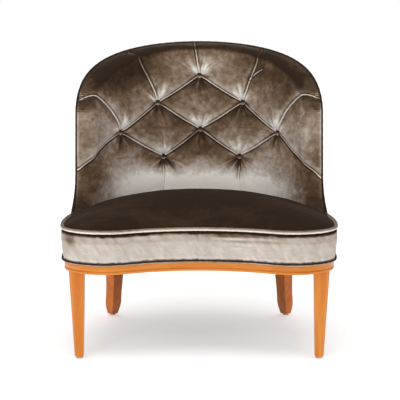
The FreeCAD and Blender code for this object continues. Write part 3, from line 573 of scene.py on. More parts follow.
box_line = seat_line(0.0, BOX_STEP)
box_out = outward(box_line)
around = len(box_line)
along = np.arange(around) * BOX_STEP
in_front = box_line[:, 1] < 0
rings = []
tones = []
for share in np.linspace(0, 1, BOX_ROWS):
    at = np.column_stack([along + 40 * MM * share, np.full(around, share * 0.07)])
    ruffle = 0.16 * smooth_noise(at * (1, 3.2), 60 * MM, 31) + 0.06 * smooth_noise(at, 13 * MM, 32)
    drag = np.zeros(around)
    for x, width, rise, size in DRAGS:
        near = np.exp(-((box_line[:, 0] / MM - x) / width) ** 2) * in_front
        drag += size * near * math.exp(-((share - rise) / DRAG_HEIGHT) ** 2)
    stand = np.interp(share, BOX_SHARES, BOX_STANDS) + math.sin(share * math.pi) * (0.4 + ruffle) + drag
    ring = box_line + box_out * (stand * MM)[:, None]
    rings.append(np.column_stack([ring, np.full(around, BOX_LOW_Z + (WELT_BASE_Z - BOX_LOW_Z) * share)]))
    ragged = 0.03 * smooth_noise(at, 9 * MM, 34) + 0.02 * smooth_noise(at, 30 * MM, 35)
    tone = 0.05 * smooth_noise(at * (1, 0.5), 8 * MM, 33)
    # Painted shade: a dark band along the top, in the crease under the upper welt, and one along the foot
    # above the lower welt, with ragged edges
    tone += 0.70 * np.clip((share - 0.895 + ragged) / 0.05, 0, 1)
    tone += 0.55 * np.clip((0.04 - share + ragged) / 0.05, 0, 1)
    for x, width, rise, tall, amount in BOX_PAINTED_SHADE:
        near = np.exp(-((box_line[:, 0] / MM - x) / width) ** 2) * in_front
        tone += amount * near * math.exp(-((share - rise) / tall) ** 2)
    tones.append(tone)
points, faces = loop_grid(rings)
boxing = add_mesh("seat_boxing_velvet", points, faces)
store(boxing, "tone_and_painted_light", np.concatenate(tones))
boxing_velvet = velvet("boxing_velvet", rub=0.22, slope=0.7, tone=-0.02, attribute="tone_and_painted_light", sheen=0.04)
boxing.data.materials.append(boxing_velvet)
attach(boxing, "root")
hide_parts("seat_boxing")


# Seat welts.
# Piping cord covered in the same velvet: a thick one sewn between the seat cover and the boxing,
# and a thin one tacked along the boxing's foot.
CORD_SIDES = 14


def cord_loop(name, line, out, z, radius, seed, material, closed=True):
    """A covered cord along a line, round or open, a little uneven as sewn cloth is."""
    rng = np.random.default_rng(seed)
    n = len(line)
    place = np.column_stack([line, np.full(n, z)]) if np.isscalar(z) else line
    along = np.roll(place, -1, axis=0) - np.roll(place, 1, axis=0)
    if not closed:
        along[0], along[-1] = place[1] - place[0], place[-1] - place[-2]
    along /= np.linalg.norm(along, axis=1)[:, None]
    side = out / np.linalg.norm(out, axis=1)[:, None]
    side -= along * (side * along).sum(1)[:, None]
    side /= np.linalg.norm(side, axis=1)[:, None]
    other = np.cross(along, side)
    walk = np.arange(n)
    rings = []
    for j in range(CORD_SIDES):
        a = 2 * math.pi * j / CORD_SIDES
        r = radius * (1 + 0.05 * np.sin(walk * 0.9 + j) * np.sin(walk * 0.23 + 2 * j)
                      + 0.04 * rng.uniform(-1, 1, n))
        rings.append(place + (side * math.cos(a) + other * math.sin(a)) * r[:, None])
    points = np.concatenate(rings)
    faces = []
    for j in range(CORD_SIDES):
        k = (j + 1) % CORD_SIDES
        for i in range(n if closed else n - 1):
            m = (i + 1) % n
            faces.append((j * n + i, j * n + m, k * n + m, k * n + i))
    if not closed:
        faces.append(tuple(j * n for j in range(CORD_SIDES)))
        faces.append(tuple(j * n + n - 1 for j in reversed(range(CORD_SIDES))))
    piece = add_mesh(name, points, faces)
    piece.data.materials.append(material)
    return piece


UPPER_WELT_R = 4.5 * MM
LOWER_WELT_R = 3.0 * MM
LOWER_WELT_Z = 243.3 * MM
line = seat_line(-1.5 * MM)
way_out = np.column_stack([outward(line), np.zeros(len(line))])
upper_welt = cord_loop("seat_welt_above", line, way_out, WELT_Z, UPPER_WELT_R, 41,
                       velvet("welt_velvet", rub=0.5, slope=0.5))
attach(upper_welt, "root")
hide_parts("seat_welt_upper")
line = seat_line(-2.0 * MM)
way_out = np.column_stack([outward(line), np.zeros(len(line))])
# The thin welt's velvet is painted darker, as painted shade between the boxing and the show-wood
lower_welt = cord_loop("seat_welt_below", line, way_out, LOWER_WELT_Z, LOWER_WELT_R, 42,
                       velvet("low_welt_shaded_velvet", rub=0.9, slope=0.9, tone=0.30))
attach(lower_welt, "root")
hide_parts("seat_welt_lower")


# Inside back.
# One piece of velvet over soft stuffing, drawn in by eight buttons. The spare cloth is folded
# into tucks that run between the buttons and out over the rolled edge to the welt.
TOP_Z = 772 * MM
ARCH_Z = 590 * MM
SWEEP_Z = 440 * MM
SEAT_BACK_Z = 322 * MM
# Middle of the barrel, level with the welt
AXIS_Y = -81.851 * MM
OUTER_R = 337.87 * MM
WING_THICK = 46 * MM
FACE_SHIFT = 24 * MM
LEAN = math.tan(math.radians(9.0))
WING_ANGLE = math.radians(76.5)
WING_SWEEP = math.radians(9.5)
# Lengths along the back are measured on this radius
ARC_R = 275 * MM
# The rolled edge in section: millimetres past the outline, and share of the back's thickness.
# The wings end in a full round, and the top in a longer, flatter one.
WING_ROLL = ((-12, 0.0), (7, 0.0), (25, 0.72), (0, 0.97))
TOP_ROLL = ((-20, 0.0), (-4, 0.0), (2, 0.30), (0, 0.97))
WING_ROLL_LENGTH = 62 * MM
TOP_ROLL_LENGTH = 80 * MM
ROLL_STEPS = 80
ROLL_DEPTH = 58


def axis_y(z):
    """Where the middle of the leaning barrel is at a height."""
    return AXIS_Y + (z - WELT_Z) * LEAN


def face_r(angle):
    """How far the inner face is from the middle of the barrel."""
    return (np.sqrt((OUTER_R - WING_THICK) ** 2 - (FACE_SHIFT * np.sin(angle)) ** 2)
            - FACE_SHIFT * np.cos(angle))


def edge_angle(z):
    """Half angle of the back at a height, from the seat up to the top of the arch."""
    sweep = np.clip((SWEEP_Z - np.maximum(z, SEAT_BACK_Z)) / (SWEEP_Z - SEAT_BACK_Z), 0, 1) ** 3
    arch = np.clip((z - ARCH_Z) / (TOP_Z - ARCH_Z), 0, 1)
    return (WING_ANGLE + WING_SWEEP * sweep) * np.sqrt(np.clip(1 - arch ** 2, 0, 1))


def edge_line():
    """The back's outline laid flat: x is the length along the barrel and y the height."""
    low = np.linspace(SEAT_BACK_Z + 4 * MM, ARCH_Z, 90)
    turn = np.linspace(0, math.pi / 2, 120)[1:]
    z = np.concatenate([low, ARCH_Z + (TOP_Z - ARCH_Z) * np.sin(turn)])
    x = ARC_R * np.concatenate([edge_angle(low), WING_ANGLE * np.cos(turn)])
    right = np.stack([x, z], axis=1)
    left = right[::-1][1:] * (-1, 1)
    return even(np.concatenate([right, left]), 3 * MM)


def roll_curve(handles):
    """Points along a Bezier section of the rolled edge, evenly spaced along its length."""
    t = np.linspace(0, 1, ROLL_STEPS)[:, None]
    a, b, c, d = [np.array(h, dtype=float) for h in handles]
    curve = a * (1 - t) ** 3 + 3 * b * t * (1 - t) ** 2 + 3 * c * t ** 2 * (1 - t) + d * t ** 3
    size = curve * (1, ROLL_DEPTH)
    length = np.concatenate([[0], np.cumsum(np.linalg.norm(np.diff(size, axis=0), axis=1))])
    at = np.linspace(0, length[-1], ROLL_STEPS)
    return np.stack([np.interp(at, length, curve[:, 0]), np.interp(at, length, curve[:, 1])], axis=1)


wing_roll = roll_curve(WING_ROLL)
top_roll = roll_curve(TOP_ROLL)
rim = edge_line()
rim_out = normals_of(rim)
upness = np.clip(rim_out[:, 1], 0, 1)[:, None] ** 2
flat_edge = rim + rim_out * ((WING_ROLL[0][0] * (1 - upness) + TOP_ROLL[0][0] * upness) * MM)
flat_edge = even(flat_edge, 5 * MM)
flat_out = normals_of(flat_edge)
flat_out /= np.linalg.norm(flat_out, axis=1)[:, None]


def roll_length(out):
    """How far the cloth runs over the rolled edge, by the way out there."""
    up = np.clip(out[:, 1], 0, 1) ** 2
    return WING_ROLL_LENGTH * (1 - up) + TOP_ROLL_LENGTH * up


def back_surface(flat):
    """Places on the smooth inside back, and the way out of the cloth, for points laid flat."""
    beyond, foot, out = nearest(flat, flat_edge, flat_out)
    up = np.clip(out[:, 1], 0, 1) ** 2
    share = np.clip(beyond / roll_length(out), 0, 1)

    def section(share):
        """How far out and how deep the rolled edge is, at a share of its length."""
        at = share * (len(wing_roll) - 1)
        steps = np.arange(len(wing_roll))
        wing = np.stack([np.interp(at, steps, wing_roll[:, i]) for i in (0, 1)], axis=1)
        top = np.stack([np.interp(at, steps, top_roll[:, i]) for i in (0, 1)], axis=1)
        return wing * (1 - up[:, None]) + top * up[:, None]

    here, after, before = section(share), section(share + 0.01), section(share - 0.01)
    start = section(np.zeros_like(share))[:, 0]
    moved = (here[:, 0] - start) * MM
    rolled = beyond > 0
    inplane = np.where(rolled[:, None], foot + out * moved[:, None], flat)
    depth = np.where(rolled, here[:, 1], 0.0)
    angle = inplane[:, 0] / ARC_R
    z = inplane[:, 1]
    face = face_r(angle)
    r = face + (OUTER_R - face) * depth
    centre = axis_y(z)
    place = np.stack([r * np.sin(angle), centre + r * np.cos(angle), z], axis=1)
    inward = np.stack([-np.sin(angle), -np.cos(angle), LEAN * np.cos(angle)], axis=1)
    inward /= np.linalg.norm(inward, axis=1)[:, None]
    sideways = np.stack([np.cos(angle), -np.sin(angle), np.zeros_like(angle)], axis=1)
    upward = np.array([0.0, LEAN, 1.0]) / math.hypot(1, LEAN)
    edgeways = sideways * out[:, :1] + upward * out[:, 1:]
    thick = (OUTER_R - face) / MM
    across, along = (after - before)[:, 1] * thick, (after - before)[:, 0]
    size = np.hypot(across, along) + 1e-9
    turn_out = np.where(rolled, across / size, 0.0)
    turn_in = np.where(rolled, along / size, 1.0)
    normal = inward * turn_in[:, None] + edgeways * turn_out[:, None]
    return place, normal, roll_length(out) - beyond


# The eight buttons, laid flat: millimetres to the right of the middle, and height
BUTTONS = {"top": (1, 683), "upper_left": (-116, 608), "upper_right": (122, 609),
           "far_left": (-233, 530), "centre": (3, 533), "far_right": (231, 529),
           "lower_left": (-99, 458), "lower_right": (113, 459)}
# Tucks between two buttons: the upper puff laps over the lower one
TUCKS = (("top", "upper_left"), ("top", "upper_right"), ("upper_left", "far_left"),
         ("upper_left", "centre"), ("upper_right", "centre"), ("upper_right", "far_right"),
         ("far_left", "lower_left"), ("centre", "lower_left"), ("centre", "lower_right"),
         ("far_right", "lower_right"))
# Tucks from a button out to the edge or down behind the seat: the points they pass
EDGE_TUCKS = {
    "top": [[(-3, 703), (-8, 735), (-12, 765), (-13, 828)]],
    "upper_left": [[(-128, 635), (-146, 672), (-171, 716), (-181, 740), (-188, 765), (-195, 806)]],
    "upper_right": [[(135, 635), (151, 677), (170, 719), (174, 744), (172, 768), (168, 808)]],
    "far_left": [[(-251, 562), (-281, 596), (-312, 617), (-338, 631), (-365, 641), (-425, 641)],
                 [(-262, 520), (-300, 504), (-338, 484), (-372, 464), (-425, 432)]],
    "far_right": [[(246, 552), (272, 588), (305, 616), (334, 632), (365, 644), (425, 648)],
                  [(258, 515), (300, 484), (340, 464), (372, 448), (425, 412)]],
    "lower_left": [[(-102, 436), (-100, 405), (-103, 360), (-104, 336)]],
    "lower_right": [[(117, 436), (114, 405), (116, 360), (116, 336)]]}
TUCK_SAG = 3 * MM


def smooth_line(points, step):
    """A curve through the points, at even steps."""
    p = np.asarray(points, dtype=float)
    p = np.concatenate([[2 * p[0] - p[1]], p, [2 * p[-1] - p[-2]]])
    out = []
    for i in range(1, len(p) - 2):
        for t in np.linspace(0, 1, 12, endpoint=False):
            out.append(0.5 * ((2 * p[i]) + (p[i + 1] - p[i - 1]) * t
                              + (2 * p[i - 1] - 5 * p[i] + 4 * p[i + 1] - p[i + 2]) * t ** 2
                              + (3 * p[i] - p[i - 1] - 3 * p[i + 1] + p[i + 2]) * t ** 3))
    out.append(p[-2])
    return even(out, step)


button_at = {name: np.array(place) * MM for name, place in BUTTONS.items()}
LINE_STEP = 2.2 * MM
tuck_lines = []
for first, second in TUCKS:
    a, b = button_at[first], button_at[second]
    middle = (a + b) / 2 - (0, TUCK_SAG)
    tuck_lines.append((smooth_line([a, middle, b], LINE_STEP), "between"))
for name, runs in EDGE_TUCKS.items():
    kind = "down" if name.startswith("lower") else "edge"
    for run in runs:
        passed = [button_at[name]] + [np.array(p) * MM for p in run]
        tuck_lines.append((smooth_line(passed, LINE_STEP), kind))
# A short pleat forks off the upper right tuck
fork = np.array([(148, 672), (166, 688), (188, 700)]) * MM
tuck_lines.append((smooth_line(fork, LINE_STEP), "fork"))


def upper_side(line, kind):
    """The way across a tuck, towards the puff that laps over it."""
    side = normals_of(line)
    if kind != "down":
        side *= np.where(side[:, 1:] < 0, -1, 1)
    return side


# Points of the laid-flat cloth: rows along each tuck, and an even net elsewhere
NET_STEP = 2.5 * MM
ROWS = np.array([-3.6, -1.9, -0.9, 0.0, 0.9, 1.9, 3.2, 4.8]) * MM
FOOT_Z = SEAT_BACK_Z + 4 * MM
border = flat_edge + flat_out * roll_length(flat_out)[:, None]
border_points = even(border, NET_STEP)
row_points = []
for line, kind in tuck_lines:
    side = upper_side(line, kind)
    for row in ROWS:
        row_points.append(line + side * row)
row_points = np.concatenate(row_points)
reach = np.abs(border[:, 0]).max()
across = np.arange(-reach, reach, NET_STEP)
upward = np.arange(FOOT_Z, border[:, 1].max(), NET_STEP * 0.87)
net_x, net_z = np.meshgrid(across, upward)
net_x[1::2] += NET_STEP / 2
net = np.stack([net_x.ravel(), net_z.ravel()], axis=1)


def inside_cloth(points, margin):
    """Which points lie on the cloth, further than the margin from its border."""
    distance, _, _ = nearest(points, border, flat_out)
    return (distance < -margin) & (points[:, 1] > FOOT_Z + margin)


net = net[inside_cloth(net, NET_STEP * 0.5)]
row_points = row_points[inside_cloth(row_points, NET_STEP * 0.4)]


def far_from(points, others, gap):
    """Which points lie further than the gap from all the others."""
    table = {}
    for i, key in enumerate(map(tuple, np.floor(others / gap).astype(int))):
        table.setdefault(key, []).append(i)
    keep = np.ones(len(points), dtype=bool)
    keys = np.floor(points / gap).astype(int)
    for i, (kx, ky) in enumerate(keys):
        close = [j for dx in (-1, 0, 1) for dy in (-1, 0, 1) for j in table.get((kx + dx, ky + dy), ())]
        if close and (((others[close] - points[i]) ** 2).sum(1) < gap * gap).any():
            keep[i] = False
    return keep


net = net[far_from(net, row_points, NET_STEP * 0.72)]
foot_x = np.arange(border_points[-1, 0] + NET_STEP, border_points[0, 0], NET_STEP)
foot_points = np.stack([foot_x, np.full(len(foot_x), FOOT_Z)], axis=1)
loop = np.concatenate([border_points, foot_points])
cloth = np.concatenate([loop, row_points, net])
loop_edges = [(i, (i + 1) % len(loop)) for i in range(len(loop))]
made = delaunay_2d_cdt([Vector(p) for p in cloth], loop_edges, [], 0, 1e-7)
flat = np.array([tuple(v) for v in made[0]])
triangles = np.array([tuple(f) for f in made[2]])
middle = flat[triangles].mean(1)
distance, _, _ = nearest(middle, border, flat_out)
triangles = triangles[(distance < 0) & (middle[:, 1] > FOOT_Z)]

# Across a tuck, on its upper side, in millimetres: place, half width and height
TUCK_LIP = (1.3, 1.0, 0.7)
TUCK_CREASE = (-1.0, 1.1, -3.4)
TUCK_HOLLOW = (4.4, 1.5, -0.9)
TUCK_LAP = (0.9, 1.2, 1.1)
# Painted light across a tuck: a painted shadow below the crease, a painted highlight on the lip and
# painted shade in the hollow above; the last value is the amount
TUCK_SHADE_AND_HIGHLIGHT = ((-1.7, 1.5, 0.46), (1.3, 1.2, -0.36), (5.0, 2.2, 0.26))
# For each kind of tuck: how much it draws the puffs down, and how deep it is folded
TUCK_DRAW = {"between": 0.86, "edge": 0.74, "down": 0.5, "fork": 0.2}
TUCK_FOLD = {"between": 1.0, "edge": 1.0, "down": 0.5, "fork": 0.7}
TUCK_REACH = 70 * MM
TUCK_END = 9 * MM
PUFF = 8.5
SIDE_UP = 11.0
SIDE_LOW = 25.0
SIDE_POWER = 1.25


def bell(at, shape):
    """A smooth hump, given by its place, half width and height."""
    place, width, height = shape
    return height * np.exp(-((at - place) / width) ** 2)


count = len(flat)
fullness = np.ones(count)
fold = np.zeros(count)
slide = np.zeros((count, 2))
# Tone kept on the inside back's points, mostly painted light and shade
tone_and_painted_light = np.zeros(count)
for line, kind in tuck_lines:
    low, high = line.min(0) - TUCK_REACH, line.max(0) + TUCK_REACH
    near = np.flatnonzero(((flat > low) & (flat < high)).all(1))
    _, foot, up = nearest(flat[near], line, upper_side(line, kind))
    offset = flat[near] - foot
    away = np.linalg.norm(offset, axis=1) / MM
    signed = away * np.sign((offset * up).sum(1))
    width = np.where(signed > 0, SIDE_UP, SIDE_LOW)
    fullness[near] *= 1 - TUCK_DRAW[kind] * np.exp(-(away / width) ** SIDE_POWER)
    near_end = np.exp(-(np.linalg.norm(flat[near] - line[0], axis=1) / TUCK_END) ** 2)
    rise = bell(signed, TUCK_LIP) + bell(signed, TUCK_CREASE) + bell(signed, TUCK_HOLLOW)
    fold[near] += rise * TUCK_FOLD[kind] * (1 - 0.7 * near_end)
    slide[near] -= up * (bell(signed, TUCK_LAP) * TUCK_FOLD[kind] * (1 - near_end))[:, None]
    tone_and_painted_light[near] += TUCK_FOLD[kind] * sum(bell(signed, tone) for tone in TUCK_SHADE_AND_HIGHLIGHT)

# Each button sinks into the stuffing, and gathers fan out from it, longest above it
BUTTON_DIP = 10.0
BUTTON_REACH = 13.0
GATHERS = (5, 9, 14, 21, 31)
GATHER_START = 8
GATHER_HEIGHT = 0.80
FAN = 22
FAN_ABOVE = 16
FAN_BELOW = 12
FAN_RAGGED = 6
FULL_TURN = 6.28
rng = np.random.default_rng(7)
height = -PUFF * (1 - fullness)
for at in button_at.values():
    off = flat - at
    r = np.linalg.norm(off, axis=1) / MM
    turn = np.arctan2(off[:, 1], off[:, 0])
    height -= BUTTON_DIP * np.exp(-(r / BUTTON_REACH) ** 1.6)
    wave = np.zeros(count)
    for k in GATHERS:
        sway = 0.9 * smooth_noise(off, 14 * MM, 60 + k) + rng.uniform(0, FULL_TURN)
        wave += np.sin(k * turn + sway) * rng.uniform(0.6, 1.0) * 8 / (k + 7)
    started = 1 - np.exp(-(r / GATHER_START) ** 2)
    above, below = np.clip(np.sin(turn), 0, 1), np.clip(-np.sin(turn), 0, 1)
    ragged = FAN_RAGGED * np.sin(5 * turn + rng.uniform(0, FULL_TURN))
    spread = FAN + FAN_ABOVE * above + FAN_BELOW * below + ragged
    fan = np.exp(-(r / spread) ** 2)
    height += GATHER_HEIGHT * wave * started * fan
    # Painted sheen above each button and painted shade below it, streaked along the gathers, and a
    # painted shadow in its pit
    tone_and_painted_light -= fan * above ** 0.6 * (0.32 + 0.42 * wave) * started
    tone_and_painted_light += fan * below ** 0.6 * (0.24 - 0.38 * wave)
    tone_and_painted_light += 0.40 * np.exp(-(r / 6.0) ** 4)
height += fold
height += 0.8 * smooth_noise(flat, 38 * MM, 3) + 0.35 * smooth_noise(flat, 13 * MM, 4)

# The cloth is drawn back where it passes down behind the seat
RECESS = 13.0
RECESS_Z = 408 * MM
RECESS_HALF = 330 * MM
RECESS_FADE = 80 * MM
recess = np.clip((RECESS_Z - flat[:, 1]) / RECESS_FADE, 0, 1.2)
recess *= np.clip((RECESS_HALF - np.abs(flat[:, 0])) / RECESS_FADE, 0, 1)
height -= RECESS * recess ** 2

# Painted sheen and painted shade over the whole back, in lighter (below 0) or darker patches
BACK_LIGHT_AND_SHADE = (
    ((0, 372), (250, 40), -0.52), ((-70, 412), (140, 22), -0.22), ((-170, 392), (80, 34), -0.24),
    ((165, 405), (100, 38), -0.24), ((-352, 400), (52, 80), 0.16), ((352, 395), (52, 75), 0.12),
    ((-195, 730), (80, 62), 0.38), ((190, 740), (85, 60), 0.24), ((-262, 672), (70, 60), 0.34),
    ((270, 665), (66, 62), 0.26), ((0, 765), (160, 20), 0.10), ((60, 715), (66, 36), -0.10),
    ((-70, 700), (60, 40), -0.04), ((-335, 560), (60, 80), -0.10), ((335, 560), (60, 80), -0.07),
    ((-320, 690), (40, 90), 0.20), ((325, 690), (40, 90), 0.16), ((0, 480), (60, 26), 0.10),
    ((0, 438), (70, 20), -0.10), ((-215, 450), (70, 40), -0.12), ((-150, 470), (20, 24), 0.10),
    ((215, 465), (70, 36), -0.10), ((-56, 560), (30, 26), 0.08), ((56, 560), (30, 26), 0.04),
    ((-411, 540), (5, 110), -0.16), ((411, 520), (5, 130), -0.16))
tone_and_painted_light += light_and_shade_patches(flat[:, 0], flat[:, 1], BACK_LIGHT_AND_SHADE)

EDGE_FADE = 14 * MM
place, normal, to_edge = back_surface(flat + slide * MM)
keep = np.clip(to_edge / EDGE_FADE, 0, 1)
keep = keep * keep * (3 - 2 * keep)
points = place + normal * (height * keep * MM)[:, None]
inside_back = add_mesh("inside_back_velvet", points, triangles)
mesh = inside_back.data
bm = bmesh.new()
bm.from_mesh(mesh)
bmesh.ops.recalc_face_normals(bm, faces=bm.faces)
bm.to_mesh(mesh)
bm.free()
if sum(mesh.polygons[i].normal.y for i in range(0, len(mesh.polygons), 97)) > 0:
    mesh.flip_normals()
# A painted highlight lightens the rolled top along its crown
CROWN_HIGHLIGHT = 0.15
CROWN_HIGHLIGHT_REACH = 72 * MM
CROWN_HIGHLIGHT_Z = 610 * MM
crown_highlight = np.clip((CROWN_HIGHLIGHT_REACH - to_edge) / (30 * MM), 0, 1)
crown_highlight *= np.clip((flat[:, 1] - CROWN_HIGHLIGHT_Z) / (60 * MM), 0, 1)
tone_and_painted_light -= CROWN_HIGHLIGHT * crown_highlight
store(inside_back, "tone_and_painted_light", tone_and_painted_light)
back_velvet = velvet("back_velvet", rub=0.95, slope=0.85, tone=0.03, attribute="tone_and_painted_light")
inside_back.data.materials.append(back_velvet)
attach(inside_back, "root")
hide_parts("inside_back_cover")


# Buttons and twines.
# Eight small buttons covered in the same velvet. A waxed twine pulls each deep into the stuffing
# and is tied off behind the back pad.
BUTTON_R = 7.4
BUTTON_RISE = 3.6
BUTTON_DEPTH = 14.6
BUTTON_RINGS = 9
BUTTON_SIDES = 40


def button_mesh(at, seed):
    """A low covered dome whose cloth is gathered towards its rim."""
    rng = np.random.default_rng(seed)
    base, out, _ = back_surface(np.array([at]))
    base, out = base[0], out[0]
    side = np.cross(out, (0, 0, 1))
    side /= np.linalg.norm(side)
    up = np.cross(side, out)
    points = [base + out * (BUTTON_RISE - BUTTON_DEPTH) * MM]
    phase = rng.uniform(0, FULL_TURN)
    for i in range(1, BUTTON_RINGS + 1):
        share = i / BUTTON_RINGS
        dome = BUTTON_RISE * math.cos(share * math.pi / 2) ** 0.8
        for j in range(BUTTON_SIDES):
            a = 2 * math.pi * j / BUTTON_SIDES
            r = BUTTON_R * share * (1 + 0.02 * share * math.sin(7 * a + phase))
            z = dome + 0.25 * share ** 2 * math.sin(9 * a + 2 * phase)
            points.append(base + out * ((z - BUTTON_DEPTH) * MM)
                          + (side * math.cos(a) + up * math.sin(a)) * r * MM)
    faces = [(0, 1 + j, 1 + (j + 1) % BUTTON_SIDES) for j in range(BUTTON_SIDES)]
    for i in range(BUTTON_RINGS - 1):
        for j in range(BUTTON_SIDES):
            a, b = 1 + i * BUTTON_SIDES + j, 1 + i * BUTTON_SIDES + (j + 1) % BUTTON_SIDES
            faces.append((a, a + BUTTON_SIDES, b + BUTTON_SIDES, b))
    return points, faces


points, faces = [], []
for i, at in enumerate(button_at.values()):
    dome, dome_faces = button_mesh(at, 20 + i)
    faces += [tuple(v + len(points) for v in face) for face in dome_faces]
    points += dome
buttons = add_mesh("covered_buttons", points, faces)
# The buttons' velvet is painted darker, as painted shade deep in their pits
buttons.data.materials.append(velvet("button_velvet", rub=0.6, slope=0.9, tone=0.25))
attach(buttons, "root")
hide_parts("tufting_buttons")
twine = mottled("waxed_twine", srgb(170, 152, 118), srgb(205, 188, 152), scale=800.0, roughness=0.8)
dress(twine, "tufting_twines")


# Outside back.
# One plain panel of velvet stretched round the barrel over the wadding, and sewn under the welt
# at its edge.
OUT_ROWS = 110
OUT_COLUMNS = 220
OUT_TOP_GAP = 1.5 * MM
OUT_EDGE_GAP = 2 * MM
climb = np.sin(np.linspace(0, math.pi / 2, OUT_ROWS)) ** 0.9
heights = SEAT_BACK_Z + (TOP_Z - OUT_TOP_GAP - SEAT_BACK_Z) * climb
rows = []
for z in heights:
    half = edge_angle(z) - OUT_EDGE_GAP / OUTER_R if z < TOP_Z - 4 * MM else edge_angle(z) * 0.97
    t = np.linspace(-1, 1, OUT_COLUMNS) * half
    flat_at = np.column_stack([t * OUTER_R, np.full(OUT_COLUMNS, z)])
    r = OUTER_R - MM * (0.3 + 0.35 * np.abs(smooth_noise(flat_at, 60 * MM, 51)))
    rows.append(np.stack([r * np.sin(t), axis_y(z) + r * np.cos(t), np.full(OUT_COLUMNS, z)], axis=1))
faces = []
for i in range(OUT_ROWS - 1):
    for j in range(OUT_COLUMNS - 1):
        a = i * OUT_COLUMNS + j
        faces.append((a, a + OUT_COLUMNS, a + OUT_COLUMNS + 1, a + 1))
outside_back = add_mesh("outside_back_velvet", np.concatenate(rows), faces)
outside_back.data.materials.append(velvet("outside_velvet", rub=0.8, slope=1.0, tone=0.12))
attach(outside_back, "root")
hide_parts("outside_back_cover")


# Back welt.
# A covered cord along the whole edge of the back, sewn between the inside and the outside cover.
# It runs from the seat over the arch and down again.
BACK_WELT_R = 4.0 * MM
BACK_WELT_LOW_Z = 331 * MM
low_part = np.linspace(BACK_WELT_LOW_Z, ARCH_Z, 110)
arch = np.linspace(0, math.pi / 2, 150)[1:]
z = np.concatenate([low_part, ARCH_Z + (TOP_Z - ARCH_Z) * np.sin(arch)])
angle = np.concatenate([edge_angle(low_part), WING_ANGLE * np.cos(arch)])
r = OUTER_R - 1 * MM
right = np.stack([r * np.sin(angle), axis_y(z) + r * np.cos(angle), z], axis=1)
line = even(np.concatenate([right, right[::-1][1:] * (-1, 1, 1)]), 2.5 * MM)
way_out = line - np.column_stack([np.zeros(len(line)), axis_y(line[:, 2]), line[:, 2]])
# The welt's velvet is painted darker, as painted shade along the edge of the back
back_welt = cord_loop("back_edge_welt", line, way_out, None, BACK_WELT_R, 43,
                      velvet("back_welt_velvet", rub=0.4, slope=0.8, tone=0.35), closed=False)
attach(back_welt, "root")
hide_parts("back_welt")


# Dust cover and tacks.
# Thin black cloth under the seat frame, held by steel tacks along its edge. It sags a little in
# the middle.
DUST_Z = 221.5 * MM
DUST_SAG = 3.0 * MM
DUST_LOOPS = 40
dust_line = seat_line(-26 * MM)
dust_shares = np.linspace(1, 0.02, DUST_LOOPS)
rings = []
for share in dust_shares:
    sag = DUST_SAG * (1 - share ** 2)
    rings.append(np.column_stack([dust_line[:, 0] * share,
                                  CROWN_MIDDLE_Y + (dust_line[:, 1] - CROWN_MIDDLE_Y) * share,
                                  np.full(len(dust_line), DUST_Z - sag)]))
points, faces = loop_grid(rings)
slack = np.repeat(1 - dust_shares, len(dust_line))
points[:, 2] -= MM * 0.4 * (1 + smooth_noise(points[:, :2], 45 * MM, 61)) * slack
points, faces = close_middle(points, faces, len(dust_line), (0, CROWN_MIDDLE_Y, DUST_Z - DUST_SAG))
dust = add_mesh("dust_cover_cloth", points, faces)
lining, nodes, links = new_material("black_lining")
at = nodes.new("ShaderNodeTexCoord").outputs["Object"]
weave = nodes.new("ShaderNodeTexWave")
weave.inputs["Scale"].default_value = 260.0
links.new(at, weave.inputs["Vector"])
weave_bump = nodes.new("ShaderNodeBump")
weave_bump.inputs["Distance"].default_value = 0.0003
links.new(weave.outputs["Fac"], weave_bump.inputs["Height"])
worn = noise_node(nodes, links, at, 60.0)
tint = ramp_node(nodes, links, worn, ((0.2, srgb(24, 23, 22)), (0.8, srgb(44, 42, 40))))
surface(nodes, links, tint, weave_bump.outputs["Normal"], 0.9)
dust.data.materials.append(lining)
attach(dust, "root")
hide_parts("dust_cover")
dress(steel, "dust_cover_tacks")


# Leg glides.
# Four round nails with nickel-plated heads, one driven into the foot of each leg. The chair
# stands on them.
nickel = mottled("glide_nickel", srgb(150, 148, 144), srgb(190, 188, 184), scale=70.0, roughness=0.3,
                 metal=1.0)
dress(nickel, "leg_glides")


# Studio.
# The chair stands on a plain white sweep, under soft light from above and in front. The camera
# has a long lens and looks down a little.
CAMERA_DISTANCE = 3.2
CAMERA_HEIGHT = 0.8397
CAMERA_PITCH = math.radians(7.744)
LENS_MM = 120.02
FRAME_SHIFT = 0.002
FLOOR_HALF = 14.0
FLOOR_GREY = 0.86
FLOOR_GLOW = (0.75, 0.38)
GLOW_SPREAD = 0.45
ROOM_LIGHT = 0.5

floor = add_mesh("floor", [(-FLOOR_HALF, -FLOOR_HALF, 0), (FLOOR_HALF, -FLOOR_HALF, 0),
                           (FLOOR_HALF, FLOOR_HALF, 0), (-FLOOR_HALF, FLOOR_HALF, 0)], [(0, 1, 2, 3)])
sweep, nodes, links = new_material("pale_floor")
floor_shader = nodes.new("ShaderNodeBsdfDiffuse")
floor_shader.inputs["Color"].default_value = (FLOOR_GREY, FLOOR_GREY, FLOOR_GREY, 1)
glow_at = nodes.new("ShaderNodeMapping")
glow_at.inputs["Scale"].default_value = (GLOW_SPREAD, GLOW_SPREAD, GLOW_SPREAD)
links.new(nodes.new("ShaderNodeTexCoord").outputs["Object"], glow_at.inputs["Vector"])
glow_round = nodes.new("ShaderNodeTexGradient")
glow_round.gradient_type = "SPHERICAL"
links.new(glow_at.outputs[0], glow_round.inputs["Vector"])
glow_range = nodes.new("ShaderNodeMapRange")
glow_range.inputs["To Min"].default_value, glow_range.inputs["To Max"].default_value = FLOOR_GLOW
links.new(glow_round.outputs["Fac"], glow_range.inputs["Value"])
glow = nodes.new("ShaderNodeEmission")
links.new(glow_range.outputs[0], glow.inputs["Strength"])
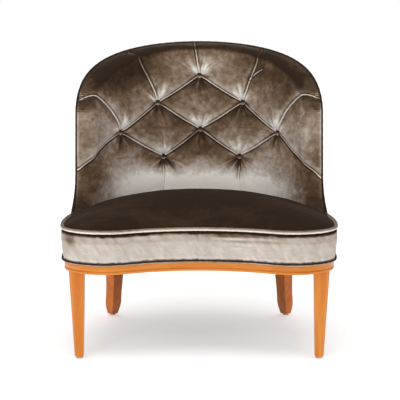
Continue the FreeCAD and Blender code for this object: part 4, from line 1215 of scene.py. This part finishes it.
both = nodes.new("ShaderNodeAddShader")
links.new(floor_shader.outputs[0], both.inputs[0])
links.new(glow.outputs[0], both.inputs[1])
end = nodes.new("ShaderNodeOutputMaterial")
links.new(both.outputs[0], end.inputs["Surface"])
floor.data.materials.append(sweep)
floor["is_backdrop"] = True

world = bpy.data.worlds.new("studio")
scene.world = world
world.use_nodes = True
nodes, links = world.node_tree.nodes, world.node_tree.links
room = nodes["Background"]
room.inputs["Color"].default_value = (1.0, 1.0, 1.0, 1)
room.inputs["Strength"].default_value = ROOM_LIGHT
white = nodes.new("ShaderNodeBackground")
white.inputs["Color"].default_value = (1.0, 1.0, 1.0, 1)
white.inputs["Strength"].default_value = 1.0
pick = nodes.new("ShaderNodeMixShader")
links.new(nodes.new("ShaderNodeLightPath").outputs["Is Camera Ray"], pick.inputs[0])
links.new(room.outputs[0], pick.inputs[1])
links.new(white.outputs[0], pick.inputs[2])
links.new(pick.outputs[0], nodes["World Output"].inputs["Surface"])


def softbox(name, place, aim, size, power):
    """A square light that looks at a point."""
    data = bpy.data.lights.new(name, "AREA")
    data.shape = "RECTANGLE"
    data.size, data.size_y = size
    data.energy = power
    lamp = bpy.data.objects.new(name, data)
    scene.collection.objects.link(lamp)
    lamp.location = place
    lamp.rotation_euler = (Vector(aim) - Vector(place)).to_track_quat("-Z", "Y").to_euler()


softbox("top_softbox", (0.0, -0.6, 3.0), (0, 0, 0.3), (3.0, 2.4), 46)
softbox("front_softbox", (-1.1, -3.2, 1.9), (0, 0, 0.4), (1.8, 1.8), 26)

camera_data = bpy.data.cameras.new("camera")
camera_data.lens = LENS_MM
camera_data.sensor_width = 36.0
camera_data.shift_x = FRAME_SHIFT
camera = bpy.data.objects.new("camera", camera_data)
scene.collection.objects.link(camera)
camera.location = (0.0, SEAT_FRONT - CAMERA_DISTANCE, CAMERA_HEIGHT)
camera.rotation_euler = (math.pi / 2 - CAMERA_PITCH, 0.0, 0.0)
scene.camera = camera
scene.view_settings.view_transform = "Standard"

low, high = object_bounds()
